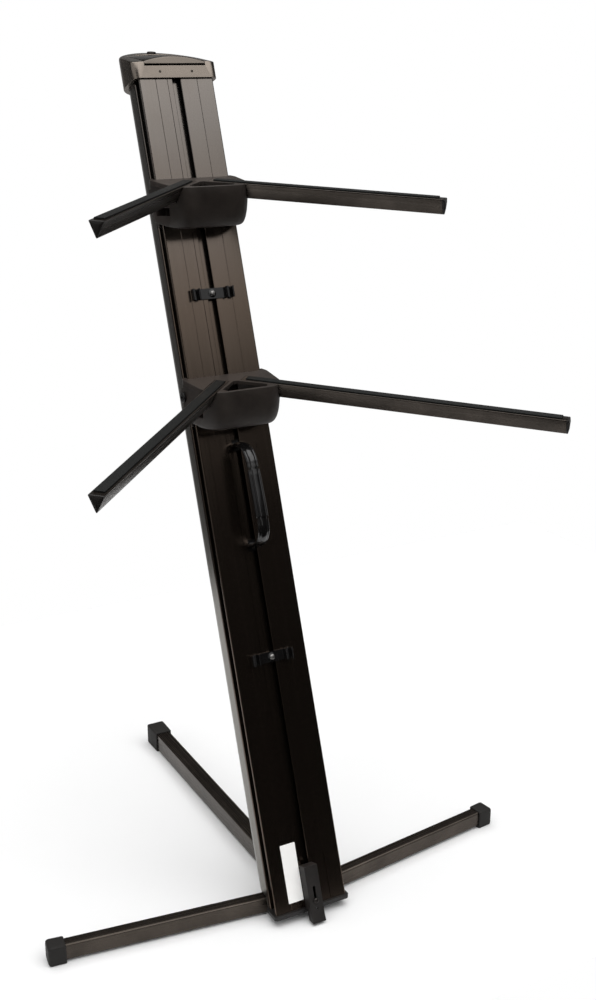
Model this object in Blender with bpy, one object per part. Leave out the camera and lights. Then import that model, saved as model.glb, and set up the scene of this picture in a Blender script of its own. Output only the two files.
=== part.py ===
"""Two-tier column keyboard stand.

A leaning extruded column on three fold-out legs carries two clamped brackets,
each with a pair of triangular support arms.  Metres, +Z up, the user stands
on the -Y side.  The origin is under the middle of the footprint, on the floor.
"""
import math

import bmesh
import bpy
from mathutils import Matrix, Vector

for old in list(bpy.data.objects):
    bpy.data.objects.remove(old, do_unlink=True)

# ------------------------------------------------------------- dimensions
Y_SHIFT = -0.2346                    # column foot to footprint centre
LEAN = math.radians(19.65)           # column leans back
FACE_Z0 = 0.0182                     # lower end of the column face above the floor
FACE_LEN = 1.185                     # visible length of the column face
COL_TOP = 1.197                      # extrusions end inside the top cap
HW = 0.0565                          # half width of the column (113 mm)
SHELL_STRAIGHT = 0.034               # straight depth of the column side
SHELL_BACK = 0.077                   # total depth of the column
WALL = 0.0022

DROOP = math.radians(3.3)            # arms point slightly down
SPREAD = math.radians(42.8)          # arm direction away from straight forward
TIER_S = {"low": 0.765, "high": 1.0445}
ARM_LEN = {"low": 0.456, "high": 0.336}
ARM_ROOT_X = 0.0167
ARM_ROOT_U = 0.0257
ARM_HALF = 0.01015                   # half width of the arm's flat top
ARM_DEEP = 0.0225                    # depth of the arm's triangle
BRACKET_H = 0.0580

LEG_PIVOT = {"left": (-0.0330, 0.0380, 0.0155), "right": (0.0330, 0.0380, 0.0155), "rear": (0.0, 0.0450, 0.0175)}
SIDE_SWEEP = math.radians(7.4)       # side legs sweep back
SIDE_TUBE = (0.0180, 0.0240)
REAR_TUBE = (0.0240, 0.0315)
SIDE_RIM, SIDE_FOOT = 0.3094, 0.0255
REAR_RIM, REAR_FOOT = 0.4900, 0.0420
GAP = 0.0003

GAMMA = LEAN + DROOP                 # bracket plane against the column
cg, sg = math.cos(GAMMA), math.sin(GAMMA)
cl, sl = math.cos(LEAN), math.sin(LEAN)


# ---------------------------------------------------------------- helpers
def material(name, rgb, rough, metal):
    m = bpy.data.materials.new(name)
    m.use_nodes = True
    b = m.node_tree.nodes["Principled BSDF"]
    b.inputs["Base Color"].default_value = (*rgb, 1.0)
    b.inputs["Roughness"].default_value = rough
    b.inputs["Metallic"].default_value = metal
    m.diffuse_color = (*rgb, 1.0)
    return m


MAT = {
    "anodised": material("anodised", (0.055, 0.045, 0.040), 0.32, 0.9),
    "cast": material("cast", (0.030, 0.025, 0.023), 0.55, 0.3),
    "tube": material("tube", (0.045, 0.040, 0.037), 0.42, 0.6),
    "plastic": material("plastic", (0.035, 0.030, 0.028), 0.50, 0.0),
    "gloss": material("gloss", (0.012, 0.011, 0.011), 0.15, 0.0),
    "rubber": material("rubber", (0.020, 0.024, 0.022), 0.85, 0.0),
    "steel": material("steel", (0.35, 0.34, 0.33), 0.35, 1.0),
    "paper": material("paper", (0.80, 0.79, 0.77), 0.60, 0.0),
}


def empty(name, parent=None, loc=(0, 0, 0), rot=(0, 0, 0)):
    e = bpy.data.objects.new(name, None)
    bpy.context.scene.collection.objects.link(e)
    e.parent = parent
    e.location = loc
    e.rotation_euler = rot
    return e


def emit(name, bm, mat, parent, loc=(0, 0, 0), rot=(0, 0, 0), smooth=None):
    bmesh.ops.remove_doubles(bm, verts=bm.verts, dist=1e-6)
    bmesh.ops.recalc_face_normals(bm, faces=bm.faces)
    me = bpy.data.meshes.new(name)
    bm.to_mesh(me)
    bm.free()
    if smooth:
        me.shade_smooth()
        me.set_sharp_from_angle(angle=math.radians(smooth))
    ob = bpy.data.objects.new(name, me)
    bpy.context.scene.collection.objects.link(ob)
    me.materials.append(MAT[mat])
    ob.parent = parent
    ob.location = loc
    ob.rotation_euler = rot
    return ob


def loft(sections):
    """Closed solid through rings of equal point count."""
    bm = bmesh.new()
    rings = [[bm.verts.new(p) for p in s] for s in sections]
    n = len(rings[0])
    bm.faces.new(list(reversed(rings[0])))
    bm.faces.new(rings[-1])
    for a, b in zip(rings[:-1], rings[1:]):
        for i in range(n):
            j = (i + 1) % n
            bm.faces.new((a[i], a[j], b[j], b[i]))
    bmesh.ops.recalc_face_normals(bm, faces=bm.faces)
    return bm


def prism(pts, z0, z1):
    """Extrude an outline along Z; z0 may be a function of the outline point."""
    lo = [(x, y, z0(x, y) if callable(z0) else z0) for x, y in pts]
    hi = [(x, y, z1(x, y) if callable(z1) else z1) for x, y in pts]
    return loft([lo, hi])


def ring(outer, inner, z0, z1):
    """Open-ended tube between two outlines of equal point count."""
    bm = bmesh.new()
    loops = [[bm.verts.new((x, y, z)) for x, y in o] for o, z in ((outer, z0), (outer, z1), (inner, z1), (inner, z0))]
    n = len(outer)
    for a, b in zip(loops, loops[1:] + loops[:1]):
        for i in range(n):
            j = (i + 1) % n
            bm.faces.new((a[i], a[j], b[j], b[i]))
    bmesh.ops.recalc_face_normals(bm, faces=bm.faces)
    return bm


def box(x0, x1, y0, y1, z0, z1):
    return loft([[(x0, y0, z0), (x1, y0, z0), (x1, y1, z0), (x0, y1, z0)],
                 [(x0, y0, z1), (x1, y0, z1), (x1, y1, z1), (x0, y1, z1)]])


def circle(r, n, phase=0.0, cx=0.0, cy=0.0):
    return [(cx + r * math.cos(phase + 2 * math.pi * i / n), cy + r * math.sin(phase + 2 * math.pi * i / n)) for i in range(n)]


def turned(profile, n, phase=0.0):
    """Solid of revolution about Z through (radius, z) stations."""
    return loft([[(x, y, z) for x, y in circle(r, n, phase)] for r, z in profile])


def moved(bm, matrix):
    bmesh.ops.transform(bm, matrix=matrix, verts=bm.verts)
    return bm


def place(bm, loc, axis="Z"):
    """Turn a solid built along Z onto another axis and move it."""
    rot = {"Z": Matrix.Identity(4), "X": Matrix.Rotation(math.pi / 2, 4, "Y"), "Y": Matrix.Rotation(-math.pi / 2, 4, "X")}[axis]
    return moved(bm, Matrix.Translation(Vector(loc)) @ rot)


def boolean(a, tools, op):
    """Exact boolean of one solid with each tool in turn."""
    for t in tools:
        obs = []
        for b in (a, t):
            me = bpy.data.meshes.new("tmp")
            b.to_mesh(me)
            b.free()
            ob = bpy.data.objects.new("tmp", me)
            bpy.context.scene.collection.objects.link(ob)
            obs.append(ob)
        mod = obs[0].modifiers.new("bool", "BOOLEAN")
        mod.operation = op
        mod.solver = "EXACT"
        mod.object = obs[1]
        dg = bpy.context.evaluated_depsgraph_get()
        dg.update()
        res = bpy.data.meshes.new_from_object(obs[0].evaluated_get(dg))
        a = bmesh.new()
        a.from_mesh(res)
        for ob in obs:
            me = ob.data
            bpy.data.objects.remove(ob, do_unlink=True)
            bpy.data.meshes.remove(me)
        bpy.data.meshes.remove(res)
        bmesh.ops.remove_doubles(a, verts=a.verts, dist=2e-6)
        bmesh.ops.dissolve_degenerate(a, dist=2e-6, edges=a.edges)
    return a


def cut(a, *tools):
    return boolean(a, tools, "DIFFERENCE")


def fuse(a, *tools):
    return boolean(a, tools, "UNION")


def mirror_outline(right):
    """Right half of an outline, front to back, closed with its mirror image."""
    return right + [(-x, y) for x, y in reversed(right)]


def d_outline(hw, straight, back, front, n, lead=()):
    """D-shaped section: flat front, straight sides, elliptical back."""
    right = list(lead) + [(hw, front)] if front is not None else list(lead)
    right.append((hw, straight))
    for i in range(1, n):
        t = math.pi / 2 * i / n
        right.append((hw * math.cos(t), straight + (back - straight) * math.sin(t)))
    pts = right + [(0.0, back)] + [(-x, y) for x, y in reversed(right)]
    return pts


# ----------------------------------------------------------------- frames
origin = empty("stand_frame", None, (0, Y_SHIFT, 0))
column = empty("column_frame", origin, (0, 0, FACE_Z0), (-LEAN, 0, 0))


def floor_cut(x, y):
    """Column section cut level with the floor."""
    return y * math.tan(LEAN)


# --------------------------------------------------- column front extrusion
right = [(0.0120, 0.0092), (0.0120, 0.0025), (0.0063, 0.0025), (0.0063, 0.0), (0.0305, 0.0), (0.0315, 0.0009),
         (0.0325, 0.0), (HW - 0.0006, 0.0), (HW, 0.0006), (HW, 0.0030), (0.0460, 0.0030), (0.0460, 0.0170),
         (HW, 0.0170), (HW, 0.0207), (HW - WALL, 0.0207), (HW - WALL, 0.0192), (0.0438, 0.0192), (0.0438, 0.0023),
         (0.0142, 0.0023), (0.0142, 0.0114)]
emit("column_front_extrusion", prism(mirror_outline(right), floor_cut, COL_TOP), "anodised", column)

# -------------------------------------------------------- column rear shell
N_SHELL = 9
outer = [(HW, 0.0210), (HW, SHELL_STRAIGHT)]
inner = [(HW - WALL, 0.0210), (HW - WALL, SHELL_STRAIGHT)]
for i in range(1, N_SHELL):
    t = math.pi / 2 * i / N_SHELL
    outer.append((HW * math.cos(t), SHELL_STRAIGHT + (SHELL_BACK - SHELL_STRAIGHT) * math.sin(t)))
    inner.append(((HW - WALL) * math.cos(t), SHELL_STRAIGHT + (SHELL_BACK - WALL - SHELL_STRAIGHT) * math.sin(t)))
outer = outer + [(0.0, SHELL_BACK)] + [(-x, y) for x, y in reversed(outer)]
inner = inner + [(0.0, SHELL_BACK - WALL)] + [(-x, y) for x, y in reversed(inner)]
shell = prism(outer + list(reversed(inner)), floor_cut, COL_TOP)


def notch_top(height):
    """Level notch roof at a height above the floor."""
    return lambda x, y: (height - FACE_Z0 + sl * y) / cl


def notch(x0, x1, y0, y1, height):
    return prism([(x0, y0), (x1, y0), (x1, y1), (x0, y1)], -0.05, notch_top(height))


shell = cut(shell, notch(0.040, 0.070, 0.0262, 0.0535, 0.0312), notch(-0.070, -0.040, 0.0262, 0.0535, 0.0312),
            notch(-0.0150, 0.0150, 0.062, 0.095, 0.0355))
emit("column_rear_shell", shell, "anodised", column, smooth=30)

# ------------------------------------------------------------ bottom end cap
capo = [(-0.0570, -0.0040), (0.0570, -0.0040), (0.0600, -0.0010), (0.0600, 0.0235), (-0.0600, 0.0235), (-0.0600, -0.0010)]
endcap = prism(capo, 0.0118, FACE_Z0 - GAP)
endcap = cut(endcap, box(-0.0112, 0.0112, -0.010, -0.0008, 0.0, 0.03))
emit("bottom_end_cap", endcap, "plastic", origin)

# ------------------------------------------------------------------ top cap
CAP_HW, CAP_BACK = 0.0640, 0.0847
TOP_SLOPE = 0.46                     # the top rises towards the back
TOP_TILT = math.atan(TOP_SLOPE)


def cap_top(x, y):
    return 1.2082 + TOP_SLOPE * y + 0.004 * (1 - (x / CAP_HW) ** 2)


def edge_round(y):
    """Height of the rounding between the side of the cap and its top."""
    return 0.0012 + 0.0033 * min(1.0, max(0.0, (y - 0.010) / 0.020))


cap_right = [(0.0545, -0.0035), (0.0583, -0.0025), (0.0615, -0.0003), (0.0634, 0.0032), (CAP_HW, 0.0075), (CAP_HW, 0.0200), (CAP_HW, SHELL_STRAIGHT)]
for i in range(1, 9):
    t = math.pi / 2 * i / 9
    cap_right.append((CAP_HW * math.cos(t), SHELL_STRAIGHT + (CAP_BACK - SHELL_STRAIGHT) * math.sin(t)))
cap_out = cap_right + [(0.0, CAP_BACK)] + [(-x, y) for x, y in reversed(cap_right)]


def scaled_outline(k):
    return [(x * k, 0.036 + (y - 0.036) * k) for x, y in cap_out]


cap = loft([[(x, y, FACE_LEN) for x, y in cap_out],
            [(x, y, cap_top(x, y) - edge_round(y)) for x, y in cap_out],
            [(x, y, cap_top(x, y) - 0.3 * edge_round(y)) for x, y in scaled_outline(0.985)],
            [(x, y, cap_top(x, y)) for x, y in scaled_outline(0.955)],
            [(x, y, cap_top(x, y)) for x, y in scaled_outline(0.55)]])
sock_right = [(HW + GAP, -GAP), (HW + GAP, SHELL_STRAIGHT)]
for i in range(1, 9):
    t = math.pi / 2 * i / 9
    sock_right.append(((HW + GAP) * math.cos(t), SHELL_STRAIGHT + (SHELL_BACK + 0.0006 - SHELL_STRAIGHT) * math.sin(t)))
sock = sock_right + [(0.0, SHELL_BACK + 0.0006)] + [(-x, y) for x, y in reversed(sock_right)]
LID_HX, LID_Y1 = 0.0458, 0.0534
PIN_Y, PIN_Z = 0.0600, 1.2359


def ledge(y):
    return 1.2035 + 0.40 * y


pocket = prism([(-LID_HX - 0.0005, -0.02), (LID_HX + 0.0005, -0.02), (LID_HX + 0.0005, LID_Y1 + 0.0005), (-LID_HX - 0.0005, LID_Y1 + 0.0005)],
               lambda x, y: ledge(y), 1.27)
barrel_groove = box(-0.0286, 0.0286, LID_Y1 - 0.002, PIN_Y + 0.0042, PIN_Z - 0.0052, 1.27)
bay_mouth = box(-0.0415, 0.0415, 0.0215, 0.0500, 1.190, 1.27)
pin_bore = place(turned([(0.00175, -0.0345), (0.00175, 0.0345)], 12), (0, PIN_Y, PIN_Z), "X")
INSERT_AT = (0, 0.0715, cap_top(0, 0.0715))
insert_bore = moved(turned([(0.0068, -0.0080), (0.0068, 0.02)], 20), Matrix.Translation(Vector(INSERT_AT)) @ Matrix.Rotation(TOP_TILT, 4, "X"))
cap = cut(cap, prism(sock, 1.14, COL_TOP + GAP), pocket, barrel_groove, bay_mouth, pin_bore, insert_bore)
for sx in (-1, 1):
    cap = cut(cap, place(turned([(0.0018, -0.004), (0.0018, 0.004)], 10), (sx * 0.0243, -0.0010, 1.1938), "Y"))
emit("top_cap_housing", cap, "plastic", column, smooth=30)

for side, sx in (("left", -1), ("right", 1)):
    emit("top_cap_screw_%s" % side, place(turned([(0.0011, -0.0012), (0.0015, -0.0008), (0.0015, 0.0018)], 10), (sx * 0.0243, -0.0026, 1.1938), "Y"),
         "steel", column, smooth=40)

insert = turned([(0.0065, -0.0078), (0.0065, 0.0020), (0.0060, 0.0026)], 20)
insert = cut(insert, turned([(0.0036, 0.0004), (0.0036, 0.02)], 6))
emit("boom_mount_insert", insert, "steel", column, INSERT_AT, (TOP_TILT, 0, 0), smooth=40)

# lid: crowned panel with an arched front lip over a finger slot
lid_frame = empty("top_lid_hinge", column, (0, PIN_Y, PIN_Z))
xs = [LID_HX * k for k in (-1, -0.93, -0.75, -0.5, -0.25, 0, 0.25, 0.5, 0.75, 0.93, 1)]
ys = [-0.0035, 0.0, 0.012, 0.0125, 0.035, LID_Y1]


def lid_top(x, y):
    k = max(0.0, 1 - (y + 0.0035) / 0.057)
    return cap_top(x, y) + 0.0055 * (1 - (x / LID_HX) ** 2) * k - (0.0018 if y < -0.003 else 0.0)


def lid_low(y):
    return ledge(y) + (0.0030 if y < 0.0122 else 0.0003)


sections = []
for y in ys:
    up = [(x, y - PIN_Y, lid_top(x, y) - PIN_Z) for x in xs]
    lo = [(x, y - PIN_Y, lid_low(y) - PIN_Z) for x in reversed(xs)]
    sections.append(up + lo)
lid = loft(sections)
barrel = place(turned([(0.0035, -0.0280), (0.0035, 0.0280)], 16), (0, 0, 0), "X")
lid = fuse(lid, box(-0.0280, 0.0280, -0.0086, 0.0, -0.0030, 0.0002), barrel)
lid = cut(lid, place(turned([(0.0019, -0.04), (0.0019, 0.04)], 12), (0, 0, 0), "X"))
emit("top_cap_lid", lid, "plastic", lid_frame, smooth=30)
emit("lid_hinge_pin", place(turned([(0.0015, -0.0342), (0.0015, 0.0342)], 12), (0, 0, 0), "X"), "steel", column, (0, PIN_Y, PIN_Z), smooth=40)

# ------------------------------------------------- slot hardware and handle
def slot_bolt(head_y, length=0.016, head_r=0.0042, shaft_r=0.0019, head_h=0.0024):
    """Pan-head screw with its T-slot nut; head_y is the seat of its head."""
    screw = place(turned([(head_r * 0.72, -head_h), (head_r, -head_h * 0.55), (head_r, 0.0), (shaft_r, 0.0), (shaft_r, 0.0085 - head_y)], 12), (0, head_y, 0), "Y")
    return fuse(screw, box(-0.0108, 0.0108, 0.0030, 0.0078, -length / 2, length / 2))


HANDLE_RUN = [(-0.0003, 0.6640), (-0.0100, 0.6640), (-0.0215, 0.6620), (-0.0310, 0.6570), (-0.0375, 0.6495), (-0.0412, 0.6400), (-0.0425, 0.6290),
              (-0.0440, 0.6050), (-0.0455, 0.5800), (-0.0462, 0.5560), (-0.0455, 0.5460), (-0.0425, 0.5365), (-0.0365, 0.5290), (-0.0270, 0.5235),
              (-0.0150, 0.5208), (-0.0003, 0.5205)]
GRIP_FROM, GRIP_TO = 6, 9            # stations of the run covered by the grip


def sweep_yz(path, section):
    """Sweep (x, normal) section points along a path in the YZ plane."""
    rings = []
    for i, (y, z) in enumerate(path):
        a = Vector(path[max(0, i - 1)])
        b = Vector(path[min(len(path) - 1, i + 1)])
        t = (b - a).normalized()
        nrm = Vector((t[1], -t[0]))
        sec = section(i) if callable(section) else section
        rings.append([(sx, y + nrm[0] * sn, z + nrm[1] * sn) for sx, sn in sec])
    return loft(rings)


def oval(hx, hn, n=14):
    return [(hx * math.copysign(abs(math.cos(a)) ** 0.7, math.cos(a)), hn * math.copysign(abs(math.sin(a)) ** 0.8, math.sin(a)))
            for a in [2 * math.pi * (i + 0.5) / n for i in range(n)]]


def station(i, k):
    """Point a fraction k of the way from one station of the run to the next."""
    (y0, z0), (y1, z1) = HANDLE_RUN[i], HANDLE_RUN[i + 1]
    return (y0 + (y1 - y0) * k, z0 + (z1 - z0) * k)


def bail_half(points):
    return sweep_yz(points, oval(0.0088, 0.0043))


upper_half = HANDLE_RUN[:GRIP_FROM + 1]
lower_half = HANDLE_RUN[GRIP_TO:]
core = [HANDLE_RUN[GRIP_FROM - 1]] + HANDLE_RUN[GRIP_FROM:GRIP_TO + 1] + [HANDLE_RUN[GRIP_TO + 1]]
bail = fuse(bail_half(upper_half), sweep_yz(core, oval(0.0062, 0.0026)), bail_half(lower_half))
HANDLE_ENDS = (HANDLE_RUN[0][1], HANDLE_RUN[-1][1])
for z in HANDLE_ENDS:
    bail = cut(bail, place(turned([(0.0021, -0.0130), (0.0021, 0.01)], 12), (0, 0, z), "Y"))
emit("carry_handle_bail", bail, "gloss", column, smooth=45)

# grip sleeve around the long run, with the bail passing through it
grip_path = [station(GRIP_FROM, 0.02)] + HANDLE_RUN[GRIP_FROM + 1:GRIP_TO] + [station(GRIP_TO - 1, 0.98)]
sleeve = sweep_yz(grip_path, oval(0.0095, 0.0051, 16))
bore = [station(GRIP_FROM - 1, 0.5)] + HANDLE_RUN[GRIP_FROM:GRIP_TO + 1] + [station(GRIP_TO, 0.5)]
sleeve = cut(sleeve, sweep_yz(bore, oval(0.0066, 0.0030)))
emit("carry_handle_grip", sleeve, "gloss", column, smooth=45)
for end, z in zip(("top", "bottom"), HANDLE_ENDS):
    stud = fuse(place(turned([(0.0017, -0.0125), (0.0017, 0.0085)], 12), (0, 0, 0), "Y"), box(-0.0108, 0.0108, 0.0030, 0.0078, -0.0080, 0.0080))
    emit("carry_handle_stud_%s" % end, stud, "steel", column, (0, 0, z), smooth=40)

# blank label
emit("blank_label", box(-0.0345, -0.0110, -0.0006, -GAP, 0.0110, 0.0945), "paper", column)

# -------------------------------------------------------------- foot latch
LATCH_FRONT = -0.0175
latch_frame = empty("latch_slide", column, (0, 0, 0))
outl = [(-0.0105, LATCH_FRONT), (0.0105, LATCH_FRONT)]
latch = box(-0.0103, 0.0103, LATCH_FRONT, -0.0008, -0.0150, 0.0600)
latch = cut(latch, box(-0.0076, 0.0076, LATCH_FRONT + 0.0032, 0.01, -0.0120, 0.0565))
latch = cut(latch, box(-0.02, 0.02, -0.0062, 0.01, -0.03, -0.0030))
latch = cut(latch, box(-0.0020, 0.0020, LATCH_FRONT - 0.01, LATCH_FRONT + 0.006, 0.0078, 0.0310))
latch = cut(latch, place(turned([(0.0016, -0.006), (0.0016, 0.006)], 10), (0, LATCH_FRONT, -0.0008), "Y"))
toe = loft([[(-0.0103, LATCH_FRONT, -0.0120), (0.0103, LATCH_FRONT, -0.0120), (0.0103, -0.0064, -0.0120), (-0.0103, -0.0064, -0.0120)],
            [(-0.0103, LATCH_FRONT - 0.0012, -0.0215), (0.0103, LATCH_FRONT - 0.0012, -0.0215), (0.0103, -0.0064, -0.0180), (-0.0103, -0.0064, -0.0180)]])
latch = fuse(latch, toe)
emit("latch_plate", latch, "cast", latch_frame)
emit("latch_guide_bolt", slot_bolt(LATCH_FRONT - 0.0004, 0.014, 0.0041, 0.0016, 0.0026), "cast", column, (0, 0, 0.0100), smooth=40)


def coil(r, wire, z0, z1, turns, per_turn, sides):
    rings = []
    n = int(turns * per_turn)
    for i in range(n + 1):
        a = 2 * math.pi * i / per_turn
        c = Vector((r * math.cos(a), r * math.sin(a), z0 + (z1 - z0) * i / n))
        er = Vector((math.cos(a), math.sin(a), 0))
        rings.append([tuple(c + er * (wire * math.cos(b)) + Vector((0, 0, 1)) * (wire * math.sin(b)))
                      for b in [2 * math.pi * k / sides for k in range(sides)]])
    return loft(rings)


emit("latch_spring", coil(0.0034, 0.0006, 0.0340, 0.0552, 5, 9, 5), "steel", latch_frame, (0, -0.0078, 0), smooth=60)

# -------------------------------------------------------------- cable clips
def c_hook(cx, n=9):
    """C-shaped holder, open to the front, axis along the column."""
    r1, r2, cy = 0.0047, 0.0063, -0.0063
    a0, a1 = math.radians(-50), math.radians(230)
    out = [(cx + r2 * math.cos(a), cy + r2 * math.sin(a)) for a in [a0 + (a1 - a0) * i / n for i in range(n + 1)]]
    inn = [(cx + r1 * math.cos(a), cy + r1 * math.sin(a)) for a in [a0 + (a1 - a0) * i / n for i in range(n + 1)]]
    return prism(out + list(reversed(inn)), -0.0077, 0.0077)


CLIPS = {"upper": 0.8800, "lower": 0.3600}
for which, s in CLIPS.items():
    fr = empty("clip_%s_slide" % which, column, (0, 0, s))
    base = box(-0.0235, 0.0235, -0.0028, -GAP, -0.0074, 0.0074)
    clip = fuse(base, c_hook(-0.0260), c_hook(0.0260), place(turned([(0.0056, -0.0038), (0.0062, -0.0010)], 16), (0, 0, 0), "Y"))
    clip = cut(clip, place(turned([(0.0022, -0.02), (0.0022, 0.02)], 12), (0, 0, 0), "Y"))
    emit("cable_clip_%s" % which, clip, "gloss", fr, smooth=40)
    emit("cable_clip_%s_bolt" % which, slot_bolt(-0.0041, 0.012, 0.0040, 0.0018), "steel", fr, smooth=40)


# -------------------------------------------------------------------- tiers
def to_tier(y, dz):
    """Column-frame depth and height into bracket-frame Y and Z."""
    return (y * cg + dz * sg, -y * sg + dz * cg)


def col_matrix():
    """Column frame seen from the bracket frame."""
    return Matrix.Rotation(-GAMMA, 4, "X")


def level(z, k, lift, front):
    """Bracket outline at a height; back edge follows the column side."""
    back = -0.0074 - z * 0.24
    right = [(0.0630 + lift, back), (0.0655 * k, 0.0100 + back), (0.0602 * k, 0.0570 * front), (0.0445 * k, 0.0770 * front)]
    pts = [(x, -u, z) for x, u in right]
    return pts + [(-x, y, zz) for x, y, zz in reversed(pts)]


def cavity(z, hx, hm, uf, um):
    back = (0.0050 - z * sg) / cg
    pts = [(hx, -back, z), (hx, -um, z), (hm, -uf, z)]
    return pts + [(-x, y, zz) for x, y, zz in reversed(pts)]


def tri(half, deep, top):
    return [(-half, top), (half, top), (0.0, -deep)]


def arm_matrix(sx):
    d = Vector((sx * math.sin(SPREAD), -math.cos(SPREAD), 0))
    return Matrix.Translation((sx * ARM_ROOT_X, -ARM_ROOT_U, 0)) @ Matrix.Rotation(math.atan2(d.y, d.x), 4, "Z")


def along(pts, t0, t1):
    """Extrude a (y, z) outline along local X."""
    return loft([[(t0, y, z) for y, z in pts], [(t1, y, z) for y, z in pts]])


def bracket_body():
    body = loft([level(-BRACKET_H, 0.940, -0.0020, 0.865), level(-0.0510, 0.975, 0.0, 0.935), level(-0.0360, 1.0, 0.0, 0.985), level(0.0, 1.0, 0.0, 1.0)])
    hollow = loft([cavity(-0.0610, 0.0535, 0.0370, 0.0600, 0.0450), cavity(-0.0500, 0.0566, 0.0395, 0.0685, 0.0490), cavity(-0.0050, 0.0576, 0.0412, 0.0722, 0.0500)])
    envelope = loft([level(-BRACKET_H, 0.930, -0.0030, 0.85), level(-0.0510, 0.965, -0.001, 0.925), level(-0.0360, 0.99, -0.001, 0.975), level(-0.0010, 0.99, -0.001, 0.99)])
    troughs = []
    for sx in (-1, 1):
        tr = moved(along(tri(0.0142, 0.0312, -0.0015), -0.0045, 0.075), arm_matrix(sx))
        me = bmesh.new()
        tmp = bpy.data.meshes.new("tmp")
        envelope.to_mesh(tmp)
        me.from_mesh(tmp)
        bpy.data.meshes.remove(tmp)
        troughs.append(boolean(tr, [me], "INTERSECT"))
    envelope.free()
    body = cut(body, hollow)
    body = fuse(body, *troughs)
    # lugs beside the column that carry the clamp knobs
    for sx in (-1, 1):
        x0, x1 = sorted((sx * 0.0573, sx * 0.0618))
        body = fuse(body, moved(box(x0, x1, -0.0120, 0.0178, -0.0400, -0.0105), col_matrix()))
        # hook behind the front flange of the column
        hx0, hx1 = sorted((sx * 0.0475, sx * 0.0600))
        body = fuse(body, moved(box(hx0, hx1, 0.0035, 0.0078, -0.0660, -0.0420), col_matrix()))
    # clearance for the column, its flanges and side channels
    body = cut(body, moved(box(-0.0465, 0.0465, -0.0004, 0.12, -0.16, 0.16), col_matrix()))
    for sx in (-1, 1):
        x0, x1 = sorted((sx * 0.0450, sx * 0.0570))
        body = cut(body, moved(box(x0, x1, -0.0004, 0.0034, -0.16, 0.16), col_matrix()),
                   moved(box(x0, x1, 0.0079, 0.12, -0.16, 0.16), col_matrix()),
                   moved(box(x0, x1, 0.0030, 0.0080, -0.0418, 0.16), col_matrix()),
                   moved(box(x0, x1, 0.0030, 0.0080, -0.16, -0.0662), col_matrix()))
        # recess under the deck at the side
        r0, r1 = sorted((sx * 0.0620, sx * 0.0800))
        body = cut(body, box(r0, r1, -0.0440, 0.03, -0.0390, -0.0070))
        body = cut(body, moved(place(turned([(0.0034, -0.08), (0.0034, 0.08)], 14), (0, 0.0100, -0.0240), "X"), col_matrix()) if sx > 0 else box(0.5, 0.51, 0, 0.01, 0, 0.01))
        body = cut(body, moved(along(tri(0.01281, 0.0234, 0.0050), -0.0004, 0.12), arm_matrix(sx)))
    return body


def arm_nodes(tier, side, frame, length):
    tri_out = tri(ARM_HALF, ARM_DEEP, 0.0)
    wall_in = tri(ARM_HALF - 0.0030, ARM_DEEP - 0.0052, -0.0017)
    bm = bmesh.new()
    loops = [[bm.verts.new((t, y, z)) for y, z in o] for o, t in ((tri_out, 0.0), (tri_out, length - 0.0040), (wall_in, length - 0.0040), (wall_in, 0.0))]
    for a, b in zip(loops, loops[1:] + loops[:1]):
        for i in range(3):
            j = (i + 1) % 3
            bm.faces.new((a[i], a[j], b[j], b[i]))
    emit("arm_%s_%s_tube" % (tier, side), bm, "tube", frame)
    emit("arm_%s_%s_pad" % (tier, side), loft([[(t, -w, 0.0003), (t, w, 0.0003), (t, w * 0.86, 0.0022), (t, -w * 0.86, 0.0022)] for t, w in ((0.006, 0.0070), (length - 0.0105, 0.0070))]),
         "rubber", frame)
    plug = loft([[(length - 0.0020 + 0.0020 * (k < 1), y * k, -0.0075 + (z + 0.0075) * k) for y, z in tri_out] for k in (1.0, 0.45)])
    plug = fuse(plug, loft([[(t, y, z) for y, z in tri_out] for t in (length - 0.0037, length - 0.0020)]))
    stem = [(y * 0.90, -0.0017 + (z + 0.0017) * 0.90 - 0.0006) for y, z in wall_in]
    plug = fuse(plug, along(stem, length - 0.018, length - 0.0030))
    emit("arm_%s_%s_end_plug" % (tier, side), plug, "plastic", frame)


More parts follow.
